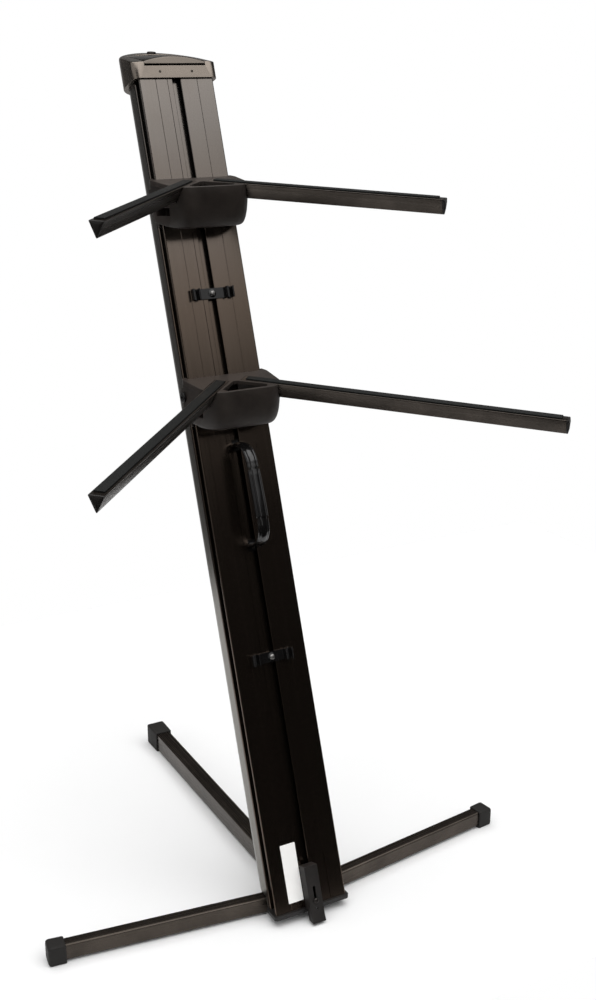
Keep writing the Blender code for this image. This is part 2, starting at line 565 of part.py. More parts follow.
for tier, s in TIER_S.items():
    tf = empty("tier_%s_slide" % tier, column, (0, 0, s), (GAMMA, 0, 0))
    emit("tier_%s_bracket" % tier, bracket_body(), "cast", tf)
    # key in the column's slot, steel, bolted to the back of the bracket
    key = fuse(box(-0.0112, 0.0112, 0.0031, 0.0088, -0.0550, -0.0100), box(-0.0057, 0.0057, -0.0001, 0.0040, -0.0550, -0.0100))
    emit("tier_%s_slot_key" % tier, key, "steel", tf, rot=(-GAMMA, 0, 0))
    for side, sx in (("left", -1), ("right", 1)):
        kx, ky, kz = 0.0, 0.0100, -0.0240
        ty, tz = to_tier(ky, kz)
        jf = empty("tier_%s_jaw_%s_slide" % (tier, side), tf, (0, ty, tz), (-GAMMA, 0, 0))
        kf = empty("tier_%s_knob_%s_axis" % (tier, side), jf)
        head = [(0.0030, 0.0500), (0.0030, 0.0621), (0.0066, 0.0621), (0.0072, 0.0630), (0.0072, 0.0652), (0.0064, 0.0662)]
        knob = place(turned(head, 16), (0, 0, 0), "X")
        knob = cut(knob, place(turned([(0.0026, 0.0640), (0.0026, 0.07)], 6), (0, 0, 0), "X"))
        if sx < 0:
            knob = moved(knob, Matrix.Rotation(math.pi, 4, "Z"))
        emit("tier_%s_clamp_knob_%s" % (tier, side), knob, "plastic", kf, smooth=40)
        j0, j1 = sorted((sx * 0.0466, sx * 0.0545))
        jaw = box(j0, j1, -0.0062, 0.0060, -0.0120, 0.0120)
        jaw = cut(jaw, place(turned([(0.0034, 0.0475), (0.0034, 0.07)], 12), (0, 0, 0), "X") if sx > 0 else
                  moved(place(turned([(0.0034, 0.0475), (0.0034, 0.07)], 12), (0, 0, 0), "X"), Matrix.Rotation(math.pi, 4, "Z")))
        emit("tier_%s_clamp_jaw_%s" % (tier, side), jaw, "steel", jf)
        m = arm_matrix(sx)
        af = empty("arm_%s_%s_slide" % (tier, side), tf, m.to_translation(), m.to_euler())
        arm_nodes(tier, side, af, ARM_LEN[tier])

# ----------------------------------------------------------- legs and hub
A_DIR = Vector((0, sl, cl))


def leg_frames(side):
    """Outward direction, hinge axis and their matrices in the stand frame."""
    p = Vector(LEG_PIVOT[side])
    if side == "rear":
        d = Vector((0, 1, 0))
    else:
        d = Vector((math.copysign(math.cos(SIDE_SWEEP), p.x), math.sin(SIDE_SWEEP), 0))
    ax = d.cross(-A_DIR).normalized()
    ez = A_DIR - d * A_DIR.dot(d)
    ez.normalize()
    ey = ez.cross(d)
    tilt = Matrix.Translation(p) @ Matrix((d, ey, ez)).transposed().to_4x4()
    flat = Matrix.Translation(p) @ Matrix.Rotation(math.atan2(d.y, d.x), 4, "Z")
    return tilt, flat, ax


def lobed(r, x1, h, n=8):
    """Plate outline: half disc about the origin, then straight to x1."""
    arc = [(r * math.cos(a), r * math.sin(a)) for a in [math.pi / 2 + math.pi * i / n for i in range(n + 1)]]
    return arc + [(x1, -h), (x1, h)]


def plate_xz(pts, y0, y1):
    return loft([[(x, y0, z) for x, z in pts], [(x, y1, z) for x, z in pts]])


plate = [(0.0520, 0.0225), (0.0520, SHELL_STRAIGHT)]
for i in range(1, 8):
    t = math.pi / 2 * i / 8
    plate.append((0.0520 * math.cos(t), SHELL_STRAIGHT + 0.0385 * math.sin(t)))
hub_col = prism(plate + [(-x, y) for x, y in reversed(plate)], 0.0425, 0.0535)
hub = moved(hub_col, Matrix.Translation((0, 0, FACE_Z0)) @ Matrix.Rotation(-LEAN, 4, "X"))
for side in ("left", "right", "rear"):
    tilt, flat, ax = leg_frames(side)
    rear = side == "rear"
    w, h = REAR_TUBE if rear else SIDE_TUBE
    rim, foot_len = (REAR_RIM, REAR_FOOT) if rear else (SIDE_RIM, SIDE_FOOT)
    r0 = 0.0215 if rear else 0.0200
    wall = 0.0020 if rear else 0.0018
    pr = 0.0110 if rear else 0.0095
    pf = empty("leg_%s_fold" % side, origin, tilt.to_translation(), tilt.to_euler())
    # tube, level with the floor
    out = [(-w / 2, -h / 2), (w / 2, -h / 2), (w / 2, h / 2), (-w / 2, h / 2)]
    inn = [(x - math.copysign(wall, x), y - math.copysign(wall, y)) for x, y in out]
    tube = ring(out, inn, r0, rim + foot_len - 0.0100)
    tube = moved(tube, Matrix(((0, 0, 1, 0), (1, 0, 0, 0), (0, 1, 0, 0), (0, 0, 0, 1))))
    flat_in_tilt = tilt.inverted() @ flat
    emit("leg_%s_tube" % side, tube, "tube", pf, rot=flat_in_tilt.to_euler())
    # foot cap: a cup over the end of the tube, standing on the floor
    pz = LEG_PIVOT[side][2]
    fw, ftop = (0.0300, 0.0355) if rear else (0.0256, 0.0290)
    foot = loft([[(rim, -fw / 2 + 0.0012, -pz), (rim, fw / 2 - 0.0012, -pz), (rim, fw / 2 - 0.0004, ftop - pz), (rim, -fw / 2 + 0.0004, ftop - pz)],
                 [(rim + foot_len - 0.003, -fw / 2, -pz), (rim + foot_len - 0.003, fw / 2, -pz), (rim + foot_len - 0.003, fw / 2, ftop - pz), (rim + foot_len - 0.003, -fw / 2, ftop - pz)],
                 [(rim + foot_len, -fw / 2 + 0.0025, 0.0025 - pz), (rim + foot_len, fw / 2 - 0.0025, 0.0025 - pz), (rim + foot_len, fw / 2 - 0.0025, ftop - pz - 0.0025), (rim + foot_len, -fw / 2 + 0.0025, ftop - pz - 0.0025)]])
    foot = cut(foot, box(rim - 0.01, rim + foot_len - 0.0095, -w / 2 - GAP, w / 2 + GAP, -h / 2 - GAP, h / 2 + GAP))
    emit("leg_%s_foot" % side, foot, "rubber", pf, rot=flat_in_tilt.to_euler())
    # tang: hinge plate with a plug inside the tube
    t2 = 0.0060
    tang = plate_xz(lobed(pr, r0 - 0.0006, pr), -t2, t2)
    plug = moved(box(r0 - 0.0040, r0 + 0.0260, -w / 2 + wall + 0.0005, w / 2 - wall - 0.0005, -h / 2 + wall + 0.0005, h / 2 - wall - 0.0005), flat_in_tilt)
    keep = moved(box(r0 - 0.0005, r0 + 0.04, -0.05, 0.05, -0.05, 0.05), Matrix.Identity(4))
    neck = plate_xz([(0.006, -0.0060), (r0 + 0.004, -0.0060), (r0 + 0.004, 0.0060), (0.006, 0.0060)], -0.0050, 0.0050)
    plug = boolean(plug, [keep], "INTERSECT")
    tang = fuse(tang, neck, plug)
    tang = cut(tang, place(turned([(0.0032, -0.02), (0.0032, 0.02)], 14), (0, 0, 0), "Y"))
    emit("leg_%s_tang" % side, tang, "steel", pf, smooth=40)
    # lugs of the hub on both sides of the tang, and the pivot pin
    for y0, y1 in ((-0.0105, -0.0063), (0.0063, 0.0105)):
        n = 8
        arc = [(pr * 1.05 * math.cos(a), pr * 1.05 * math.sin(a)) for a in [math.pi + math.pi * i / n for i in range(n + 1)]]
        up = 0.0360 if not rear else 0.0340
        lug = loft([[(x, y, z) for x, z in arc + [(pr * 1.05, up), (-pr * 1.05, up)]] for y in (y0, y1)])
        if rear:
            m = Matrix.Translation(Vector(LEG_PIVOT[side])) @ Matrix.Rotation(-LEAN, 4, "X") @ Matrix.Rotation(math.pi / 2, 4, "Z")
        else:
            m = tilt
        hub = fuse(hub, moved(lug, m))
    m = tilt
    hub = cut(hub, moved(place(turned([(0.0031, -0.02), (0.0031, 0.02)], 14), (0, 0, 0), "Y"), m))
    emit("leg_%s_pivot_pin" % side, moved(place(turned([(0.0028, -0.0118), (0.0028, 0.0118)], 14), (0, 0, 0), "Y"), m), "steel", origin, smooth=40)
emit("leg_hub", hub, "cast", origin, smooth=30)
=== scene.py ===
import math

import bmesh
import bpy
from mathutils import Matrix, Vector


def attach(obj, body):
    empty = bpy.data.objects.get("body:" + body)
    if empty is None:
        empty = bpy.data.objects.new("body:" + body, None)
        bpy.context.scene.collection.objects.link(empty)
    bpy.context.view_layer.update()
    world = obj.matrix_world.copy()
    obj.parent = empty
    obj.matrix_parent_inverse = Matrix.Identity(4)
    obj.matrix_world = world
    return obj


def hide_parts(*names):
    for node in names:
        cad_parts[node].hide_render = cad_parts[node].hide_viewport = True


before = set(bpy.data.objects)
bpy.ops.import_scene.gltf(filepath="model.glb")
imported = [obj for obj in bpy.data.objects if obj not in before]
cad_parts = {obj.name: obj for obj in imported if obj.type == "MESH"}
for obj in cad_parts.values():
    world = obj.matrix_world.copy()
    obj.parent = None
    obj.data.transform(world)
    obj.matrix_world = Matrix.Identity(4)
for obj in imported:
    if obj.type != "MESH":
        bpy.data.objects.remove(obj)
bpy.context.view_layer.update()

scene = bpy.context.scene

# ------------------------------------------------------------- dimensions
Y_SHIFT = -0.2346
LEAN = math.radians(19.65)
FACE_Z0, FACE_LEN, COL_TOP = 0.0182, 1.185, 1.197
HW, SHELL_STRAIGHT, SHELL_BACK, WALL = 0.0565, 0.034, 0.077, 0.0022
GAMMA = LEAN + math.radians(3.3)
SPREAD = math.radians(42.8)
TIER_S = {"low": 0.765, "high": 1.0445}
ARM_LEN = {"low": 0.456, "high": 0.336}
ARM_ROOT_X, ARM_ROOT_U, ARM_HALF, ARM_DEEP = 0.0167, 0.0257, 0.01015, 0.0225
BRACKET_H = 0.0580
LEG_PIVOT = {"left": (-0.0330, 0.0380, 0.0155), "right": (0.0330, 0.0380, 0.0155), "rear": (0.0, 0.0450, 0.0175)}
SIDE_SWEEP = math.radians(7.4)
SIDE_TUBE, REAR_TUBE = (0.0180, 0.0240), (0.0240, 0.0315)
SIDE_RIM, SIDE_FOOT = 0.3094, 0.0255
REAR_RIM, REAR_FOOT = 0.4900, 0.0420
GAP = 0.0003
cg, sg, cl, sl = math.cos(GAMMA), math.sin(GAMMA), math.cos(LEAN), math.sin(LEAN)

# ----------------------------------------------------------------- camera
cam_data = bpy.data.cameras.new("camera")
cam_data.lens = 47.53
cam_data.sensor_width = 36.0
cam_data.sensor_fit = "AUTO"
cam_data.clip_start = 0.05
cam = bpy.data.objects.new("camera", cam_data)
scene.collection.objects.link(cam)
cam.location = (-0.7784, -1.3920 + Y_SHIFT, 1.1763)
cam.rotation_euler = (math.radians(90 - 18.95), 0.0, math.radians(-28.52))
scene.camera = cam


# ------------------------------------------------------------ node helpers
class Graph:
    """Small helper that adds and links shader nodes."""

    def __init__(self, name):
        self.mat = bpy.data.materials.new(name)
        self.mat.use_nodes = True
        self.t = self.mat.node_tree
        self.bsdf = self.t.nodes["Principled BSDF"]
        self.coord = self.t.nodes.new("ShaderNodeTexCoord").outputs["Object"]

    def add(self, kind, **values):
        n = self.t.nodes.new(kind)
        for k, v in values.items():
            setattr(n, k, v)
        return n

    def link(self, a, b):
        self.t.links.new(a, b)

    def mapped(self, scale, location=(0, 0, 0)):
        m = self.add("ShaderNodeMapping")
        m.inputs["Scale"].default_value = scale
        m.inputs["Location"].default_value = location
        self.link(self.coord, m.inputs["Vector"])
        return m.outputs["Vector"]

    def noise(self, scale, vec=None, detail=4.0, rough=0.6, stretch=None, location=(0, 0, 0)):
        n = self.add("ShaderNodeTexNoise")
        n.inputs["Scale"].default_value = scale
        n.inputs["Detail"].default_value = detail
        n.inputs["Roughness"].default_value = rough
        if vec is None:
            vec = self.mapped(stretch, location) if stretch else self.coord
        self.link(vec, n.inputs["Vector"])
        return n.outputs["Fac"]

    def ramp(self, fac, stops):
        r = self.add("ShaderNodeValToRGB")
        el = r.color_ramp.elements
        while len(el) < len(stops):
            el.new(0.5)
        for e, (pos, col) in zip(el, stops):
            e.position = pos
            e.color = (*col, 1.0) if len(col) == 3 else col
        self.link(fac, r.inputs["Fac"])
        return r.outputs["Color"]

    def span(self, fac, lo, hi, f0=0.3, f1=0.7):
        m = self.add("ShaderNodeMapRange")
        m.inputs["From Min"].default_value = f0
        m.inputs["From Max"].default_value = f1
        m.inputs["To Min"].default_value = lo
        m.inputs["To Max"].default_value = hi
        self.link(fac, m.inputs["Value"])
        return m.outputs["Result"]

    def mix(self, fac, a, b, mode="MIX"):
        m = self.add("ShaderNodeMix", data_type="RGBA", blend_type=mode)
        for sock, v in ((m.inputs["Factor"], fac), (m.inputs["A"], a), (m.inputs["B"], b)):
            pass
        ins = [s for s in m.inputs if s.type == "RGBA"]
        fin = m.inputs[0]
        for s, v in ((fin, fac), (ins[0], a), (ins[1], b)):
            if hasattr(v, "node"):
                self.link(v, s)
            elif isinstance(v, (int, float)):
                s.default_value = v
            else:
                s.default_value = (*v, 1.0)
        return [o for o in m.outputs if o.type == "RGBA"][0]

    def bump(self, height, strength, distance, normal=None):
        b = self.add("ShaderNodeBump")
        b.inputs["Strength"].default_value = strength
        b.inputs["Distance"].default_value = distance
        self.link(height, b.inputs["Height"])
        if normal is not None:
            self.link(normal, b.inputs["Normal"])
        return b.outputs["Normal"]

    def edge_round(self, radius):
        b = self.add("ShaderNodeBevel", samples=4)
        b.inputs["Radius"].default_value = radius
        return b.outputs["Normal"]

    def set(self, **values):
        for k, v in values.items():
            s = self.bsdf.inputs[k.replace("_", " ")]
            if hasattr(v, "node"):
                self.link(v, s)
            else:
                s.default_value = v
        return self


def mat_anodised(name="anodised_extrusion", tone=1.0):
    g = Graph(name)
    broad = g.noise(1.0, stretch=(26, 26, 1.1), detail=3.0)
    fine = g.noise(1.0, stretch=(900, 900, 2.2), detail=5.0, rough=0.7)
    blotch = g.noise(7.0, detail=5.0, rough=0.65)
    scuff = g.noise(1.0, stretch=(140, 140, 9), detail=6.0, rough=0.8, location=(3, 1, 2))
    col = g.ramp(broad, [(0.30, (0.150 * tone, 0.114 * tone, 0.088 * tone)), (0.70, (0.188 * tone, 0.146 * tone, 0.116 * tone))])
    sep = g.add("ShaderNodeSeparateXYZ")
    g.link(g.coord, sep.inputs[0])
    # painted highlight: the face colour turns paler from z 0.86 up to 1.12, standing in for the lit reflection on the
    # upper column
    col = g.mix(g.span(sep.outputs["Z"], 0.0, 0.85, 0.86, 1.12), col, (0.180 * tone, 0.166 * tone, 0.154 * tone))
    # painted shade: the face colour darkens below z 0.56 to 0.80, standing in for the dark reflection on the lower
    # column
    col = g.mix(g.span(sep.outputs["Z"], 1.0, 0.0, 0.56, 0.80), col, (0.098 * tone, 0.074 * tone, 0.059 * tone))
    col = g.mix(g.span(scuff, 0.0, 0.14, 0.62, 0.80), col, (0.26 * tone, 0.235 * tone, 0.215 * tone))
    col = g.mix(g.span(blotch, 0.0, 0.25, 0.5, 0.75), col, (0.125 * tone, 0.098 * tone, 0.078 * tone))
    g.set(Base_Color=col, Metallic=0.97, Roughness=g.span(fine, 0.15, 0.22, 0.25, 0.75))
    n = g.bump(broad, 0.02, 0.0006)
    g.set(Normal=n)
    return g.mat


def mat_shell():
    g = Graph("anodised_shell")
    along_column = g.add("ShaderNodeMapping")
    along_column.inputs["Rotation"].default_value = (LEAN, 0.0, 0.0)
    g.link(g.coord, along_column.inputs["Vector"])
    g.coord = along_column.outputs["Vector"]
    broad = g.noise(1.0, stretch=(30, 30, 0.9), detail=3.0)
    fine = g.noise(1.0, stretch=(700, 700, 2.0), detail=5.0, rough=0.7)
    wear = g.noise(16.0, detail=7.0, rough=0.75)
    col = g.ramp(broad, [(0.3, (0.176, 0.166, 0.150)), (0.7, (0.215, 0.202, 0.184))])
    col = g.mix(g.span(wear, 0.0, 0.3, 0.6, 0.8), col, (0.27, 0.24, 0.21))
    g.set(Base_Color=col, Metallic=0.92, Roughness=g.span(fine, 0.24, 0.34, 0.25, 0.75), Normal=g.bump(fine, 0.08, 0.0002))
    return g.mat


def mat_cast(name="cast_bracket", rgb=(0.0360, 0.0290, 0.0250)):
    g = Graph(name)
    grain = g.noise(1500.0, detail=3.0, rough=0.6)
    soft = g.noise(28.0, detail=5.0, rough=0.6)
    rub = g.noise(70.0, detail=8.0, rough=0.75, location=(2, 5, 1), stretch=(1, 1, 1))
    lo = tuple(c * 0.82 for c in rgb)
    hi = tuple(c * 1.35 for c in rgb)
    col = g.ramp(soft, [(0.3, lo), (0.7, hi)])
    col = g.mix(g.span(rub, 0.0, 0.35, 0.62, 0.85), col, tuple(c * 2.6 for c in rgb))
    g.set(Base_Color=col, Metallic=0.0, Roughness=g.span(soft, 0.42, 0.56), Normal=g.bump(grain, 0.22, 0.00022, g.bump(soft, 0.05, 0.001, g.edge_round(0.0009))))
    g.bsdf.inputs["Specular IOR Level"].default_value = 0.26
    return g.mat


def mat_tube(name="coated_tube", rgb=(0.026, 0.0225, 0.0205), axis="X", rough=(0.27, 0.40)):
    g = Graph(name)
    stretch = {"X": (2.0, 260, 260), "Z": (260, 260, 2.0)}[axis]
    line = g.noise(1.0, stretch=stretch, detail=4.0, rough=0.65)
    soft = g.noise(22.0, detail=5.0)
    dust = g.noise(420.0, detail=4.0, rough=0.8)
    col = g.ramp(soft, [(0.3, tuple(c * 0.8 for c in rgb)), (0.7, tuple(c * 1.3 for c in rgb))])
    col = g.mix(g.span(dust, 0.0, 0.35, 0.64, 0.80), col, tuple(c * 3.2 for c in rgb))
    g.set(Base_Color=col, Metallic=0.85, Roughness=g.span(line, rough[0], rough[1]), Normal=g.bump(line, 0.07, 0.0003, g.bump(dust, 0.05, 0.0001)))
    g.bsdf.inputs["Specular IOR Level"].default_value = 0.30
    g.bsdf.inputs["Coat Weight"].default_value = 0.05
    g.bsdf.inputs["Coat Roughness"].default_value = 0.20
    return g.mat


def mat_plastic(name="moulded_plastic", rgb=(0.018, 0.0158, 0.0143), rough=(0.34, 0.46), grain_scale=1200.0, metal=0.0, spec=0.30):
    g = Graph(name)
    grain = g.noise(grain_scale, detail=3.0)
    soft = g.noise(20.0, detail=5.0)
    col = g.ramp(soft, [(0.3, tuple(c * 0.88 for c in rgb)), (0.7, tuple(c * 1.2 for c in rgb))])
    g.set(Base_Color=col, Metallic=metal, Roughness=g.span(soft, rough[0], rough[1]), Normal=g.bump(grain, 0.16, 0.00015, g.edge_round(0.0006)))
    g.bsdf.inputs["Specular IOR Level"].default_value = spec
    return g.mat


def mat_gloss():
    g = Graph("gloss_plastic")
    soft = g.noise(35.0, detail=4.0)
    smear = g.noise(160.0, detail=7.0, rough=0.7)
    col = g.ramp(soft, [(0.3, (0.0045, 0.0043, 0.0045)), (0.7, (0.0085, 0.0080, 0.0080))])
    g.set(Base_Color=col, Roughness=g.span(smear, 0.09, 0.22), Normal=g.bump(soft, 0.06, 0.0008))
    g.bsdf.inputs["Specular IOR Level"].default_value = 0.50
    g.bsdf.inputs["Coat Weight"].default_value = 0.25
    g.bsdf.inputs["Coat Roughness"].default_value = 0.06
    return g.mat


def mat_rubber(name="rubber", rgb=(0.0064, 0.0070, 0.0065), ribs=None):
    g = Graph(name)
    grain = g.noise(1000.0, detail=4.0, rough=0.7)
    soft = g.noise(30.0, detail=5.0)
    dust = g.noise(260.0, detail=8.0, rough=0.8)
    col = g.ramp(soft, [(0.3, tuple(c * 0.85 for c in rgb)), (0.7, tuple(c * 1.25 for c in rgb))])
    col = g.mix(g.span(dust, 0.0, 0.30, 0.60, 0.82), col, tuple(c * 4.5 for c in rgb))
    n = g.bump(grain, 0.30, 0.00025)
    if ribs:
        w = g.add("ShaderNodeTexWave", wave_type="BANDS", bands_direction=ribs[0])
        w.inputs["Scale"].default_value = ribs[1]
        g.link(g.coord, w.inputs["Vector"])
        n = g.bump(w.outputs["Fac"], 0.5, 0.0005, n)
    g.set(Base_Color=col, Roughness=g.span(soft, 0.58, 0.74), Normal=n)
    g.bsdf.inputs["Specular IOR Level"].default_value = 0.28
    return g.mat


def mat_steel(name="zinc_steel", rgb=(0.36, 0.35, 0.335), rough=(0.28, 0.42)):
    g = Graph(name)
    fine = g.noise(700.0, detail=5.0)
    soft = g.noise(60.0, detail=5.0)
    col = g.ramp(soft, [(0.3, tuple(c * 0.8 for c in rgb)), (0.7, rgb)])
    g.set(Base_Color=col, Metallic=1.0, Roughness=g.span(fine, rough[0], rough[1]), Normal=g.bump(fine, 0.06, 0.0002))
    return g.mat


def mat_paper():
    g = Graph("white_film")
    fibre = g.noise(500.0, detail=6.0, rough=0.7)
    soft = g.noise(45.0, detail=4.0)
    col = g.ramp(soft, [(0.3, (0.90, 0.89, 0.87)), (0.7, (0.94, 0.93, 0.91))])
    g.set(Base_Color=col, Roughness=g.span(fibre, 0.38, 0.52), Normal=g.bump(fibre, 0.08, 0.0001))
    # painted light: the film glows faintly (emission strength 0.16), so it reads whiter than its lighting makes it
    g.bsdf.inputs["Emission Color"].default_value = (1.0, 0.99, 0.97, 1.0)
    g.bsdf.inputs["Emission Strength"].default_value = 0.16
    return g.mat


M = {
    "face": mat_anodised(),
    "shell": mat_shell(),
    "cast": mat_cast(),
    "latch": mat_cast("latch_coat", (0.0130, 0.0112, 0.0103)),
    "arm": mat_tube("arm_coat", (0.054, 0.045, 0.0380), rough=(0.24, 0.36)),
    "leg": mat_tube("leg_coat", (0.060, 0.0495, 0.0410), rough=(0.22, 0.32)),
    "plastic": mat_plastic(),
    # painted light and shade: one cap paint in two tones; the darker copy, used on the lid and the cap screws, stands
    # in for shade on the cap's top, and the paler copy on the cap body stands in for light on its front
    "cap_finish_shaded": mat_plastic("cap_finish_shaded", (0.110, 0.095, 0.081), (0.22, 0.30), 700.0, 0.92, 0.5),
    "cap": mat_plastic("cap_finish_lit", (0.205, 0.176, 0.150), (0.22, 0.30), 700.0, 0.92, 0.5),
    "black": mat_plastic("end_cap_plastic", (0.0125, 0.0115, 0.0110), (0.38, 0.5)),
    "gloss": mat_gloss(),
    "pad": mat_rubber("pad_rubber", ribs=("Y", 260.0)),
    "foot": mat_rubber("foot_rubber", (0.0122, 0.0110, 0.0099)),
    "steel": mat_steel(),
    "dark_steel": mat_steel("blackened_steel", (0.055, 0.050, 0.047), (0.30, 0.45)),
    "paper": mat_paper(),
}


# --------------------------------------------------------------- geometry
def loft(sections):
    bm = bmesh.new()
    rings = [[bm.verts.new(p) for p in s] for s in sections]
    n = len(rings[0])
    bm.faces.new(list(reversed(rings[0])))
    bm.faces.new(rings[-1])
    for a, b in zip(rings[:-1], rings[1:]):
        for i in range(n):
            j = (i + 1) % n
            bm.faces.new((a[i], a[j], b[j], b[i]))
    bmesh.ops.recalc_face_normals(bm, faces=bm.faces)
    return bm


def prism(pts, z0, z1):
    lo = [(x, y, z0(x, y) if callable(z0) else z0) for x, y in pts]
    hi = [(x, y, z1(x, y) if callable(z1) else z1) for x, y in pts]
    return loft([lo, hi])


def ring(outer, inner, z0, z1):
    bm = bmesh.new()
    loops = [[bm.verts.new((x, y, z)) for x, y in o] for o, z in ((outer, z0), (outer, z1), (inner, z1), (inner, z0))]
    n = len(outer)
    for a, b in zip(loops, loops[1:] + loops[:1]):
        for i in range(n):
            j = (i + 1) % n
            bm.faces.new((a[i], a[j], b[j], b[i]))
    bmesh.ops.recalc_face_normals(bm, faces=bm.faces)
    return bm


def box(x0, x1, y0, y1, z0, z1):
    return loft([[(x0, y0, z0), (x1, y0, z0), (x1, y1, z0), (x0, y1, z0)],
                 [(x0, y0, z1), (x1, y0, z1), (x1, y1, z1), (x0, y1, z1)]])


def circle(r, n, phase=0.0, cx=0.0, cy=0.0):
    return [(cx + r * math.cos(phase + 2 * math.pi * i / n), cy + r * math.sin(phase + 2 * math.pi * i / n)) for i in range(n)]


def turned(profile, n, phase=0.0):
    return loft([[(x, y, z) for x, y in circle(r, n, phase)] for r, z in profile])


def moved(bm, matrix):
    bmesh.ops.transform(bm, matrix=matrix, verts=bm.verts)
    return bm


def place(bm, loc, axis="Z"):
    rot = {"Z": Matrix.Identity(4), "X": Matrix.Rotation(math.pi / 2, 4, "Y"), "Y": Matrix.Rotation(-math.pi / 2, 4, "X")}[axis]
    return moved(bm, Matrix.Translation(Vector(loc)) @ rot)


def boolean(a, tools, op):
    for t in tools:
        obs = []
        for b in (a, t):
            me = bpy.data.meshes.new("tmp")
            b.to_mesh(me)
            b.free()
            ob = bpy.data.objects.new("tmp", me)
            scene.collection.objects.link(ob)
            obs.append(ob)
        mod = obs[0].modifiers.new("bool", "BOOLEAN")
        mod.operation = op
        mod.solver = "EXACT"
        mod.object = obs[1]
        dg = bpy.context.evaluated_depsgraph_get()
        dg.update()
        res = bpy.data.meshes.new_from_object(obs[0].evaluated_get(dg))
        a = bmesh.new()
        a.from_mesh(res)
        for ob in obs:
            me = ob.data
            bpy.data.objects.remove(ob, do_unlink=True)
            bpy.data.meshes.remove(me)
        bpy.data.meshes.remove(res)
        bmesh.ops.remove_doubles(a, verts=a.verts, dist=2e-6)
        bmesh.ops.dissolve_degenerate(a, dist=2e-6, edges=a.edges)
    return a


def cut(a, *tools):
    return boolean(a, tools, "DIFFERENCE")


def fuse(a, *tools):
    return boolean(a, tools, "UNION")


def copy_bm(b):
    tmp = bpy.data.meshes.new("tmp")
    b.to_mesh(tmp)
    out = bmesh.new()
    out.from_mesh(tmp)
    bpy.data.meshes.remove(tmp)
    return out


def rounded(pts, radii, n=5):
    """Closed polygon with its corners rounded; radii is a number or one per corner."""
    out = []
    m = len(pts)
    for i in range(m):
        p, a, b = Vector(pts[i]), Vector(pts[i - 1]), Vector(pts[(i + 1) % m])
        r = radii[i] if isinstance(radii, (list, tuple)) else radii
        u, v = (a - p), (b - p)
        lu, lv = u.length, v.length
        u.normalize()
        v.normalize()
        ang = u.angle(v)
        if r <= 0 or ang > math.pi - 0.02:
            out.append(tuple(p))
            continue
        t = min(r / math.tan(ang / 2), lu * 0.48, lv * 0.48)
        for k in range(n + 1):
            s = k / n
            q = (p + u * t) * (1 - s) ** 2 + p * 2 * s * (1 - s) + (p + v * t) * s ** 2
            out.append(tuple(q))
    return out


def mirror_outline(right):
    return right + [(-x, y) for x, y in reversed(right)]


def build(name, bm, mat, matrix, body, nodes, bevel=0.0, segments=2, angle=30, smooth=40, bake=False):
    """Turn a bmesh into a finished piece that rides on a body and stands for CAD nodes."""
    bmesh.ops.remove_doubles(bm, verts=bm.verts, dist=1e-6)
    bmesh.ops.recalc_face_normals(bm, faces=bm.faces)
    if bake:
        moved(bm, matrix)
        matrix = Matrix.Identity(4)
    me = bpy.data.meshes.new(name)
    bm.to_mesh(me)
    bm.free()
    me.shade_smooth()
    me.set_sharp_from_angle(angle=math.radians(smooth))
    ob = bpy.data.objects.new(name, me)
    scene.collection.objects.link(ob)
    me.materials.append(M[mat])
    if bevel:
        mod = ob.modifiers.new("bevel", "BEVEL")
        mod.width = bevel
        mod.segments = segments
        mod.limit_method = "ANGLE"
        mod.angle_limit = math.radians(angle)
        mod.harden_normals = True
        mod.miter_outer = "MITER_ARC"
    ob.matrix_world = matrix
    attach(ob, body)
    if nodes:
        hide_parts(*nodes)
    return ob


STAND = Matrix.Translation((0, Y_SHIFT, 0))
COL = STAND @ Matrix.Translation((0, 0, FACE_Z0)) @ Matrix.Rotation(-LEAN, 4, "X")


def floor_cut(x, y):
    return y * math.tan(LEAN)


# --------------------------------------------------- column front extrusion
RIB = 0.00045
half = [(0.0120, 0.0092), (0.0120, 0.0025), (0.0063, 0.0025), (0.0063, 0.0006), (0.0069, 0.0), (0.0310, 0.0), (0.0315, 0.00045), (0.0320, 0.0), (HW - 0.0016, 0.0), (HW - 0.0008, 0.0003), (HW - 0.0003, 0.0009), (HW, 0.0018), (HW, 0.0029),
        (0.0463, 0.0030), (0.0460, 0.0033), (0.0460, 0.0167), (0.0463, 0.0170), (HW - 0.0012, 0.0170), (HW - 0.0004, 0.0176), (HW, 0.0186), (HW, 0.0206),
        (HW - WALL, 0.0207), (HW - WALL, 0.0192), (0.0438, 0.0192), (0.0438, 0.0023), (0.0142, 0.0023), (0.0142, 0.0114)]
face_body = cut(prism(mirror_outline(half), floor_cut, COL_TOP), prism([(-0.01440, -0.0010), (-0.01360, -0.0010), (-0.01365, 0.0014), (-0.01435, 0.0014)], -0.02, COL_TOP + 0.01))
build("column_face_extrusion", face_body, "face", COL, "column", ["column_front_extrusion"], smooth=9)

# -------------------------------------------------------- column rear shell
N = 30
outer, inner = [(HW, 0.0210), (HW, SHELL_STRAIGHT)], [(HW - WALL, 0.0210), (HW - WALL, SHELL_STRAIGHT)]
for i in range(1, N):
    t = math.pi / 2 * i / N
    outer.append((HW * math.cos(t), SHELL_STRAIGHT + (SHELL_BACK - SHELL_STRAIGHT) * math.sin(t)))
    inner.append(((HW - WALL) * math.cos(t), SHELL_STRAIGHT + (SHELL_BACK - WALL - SHELL_STRAIGHT) * math.sin(t)))
outer = outer + [(0.0, SHELL_BACK)] + [(-x, y) for x, y in reversed(outer)]
inner = inner + [(0.0, SHELL_BACK - WALL)] + [(-x, y) for x, y in reversed(inner)]


def notch(x0, x1, y0, y1, height):
    pts = [(x0, y0), (x1, y0), (x1, y1), (x0, y1)]
    return prism(pts, -0.05, lambda x, y: (height - FACE_Z0 + sl * y) / cl)


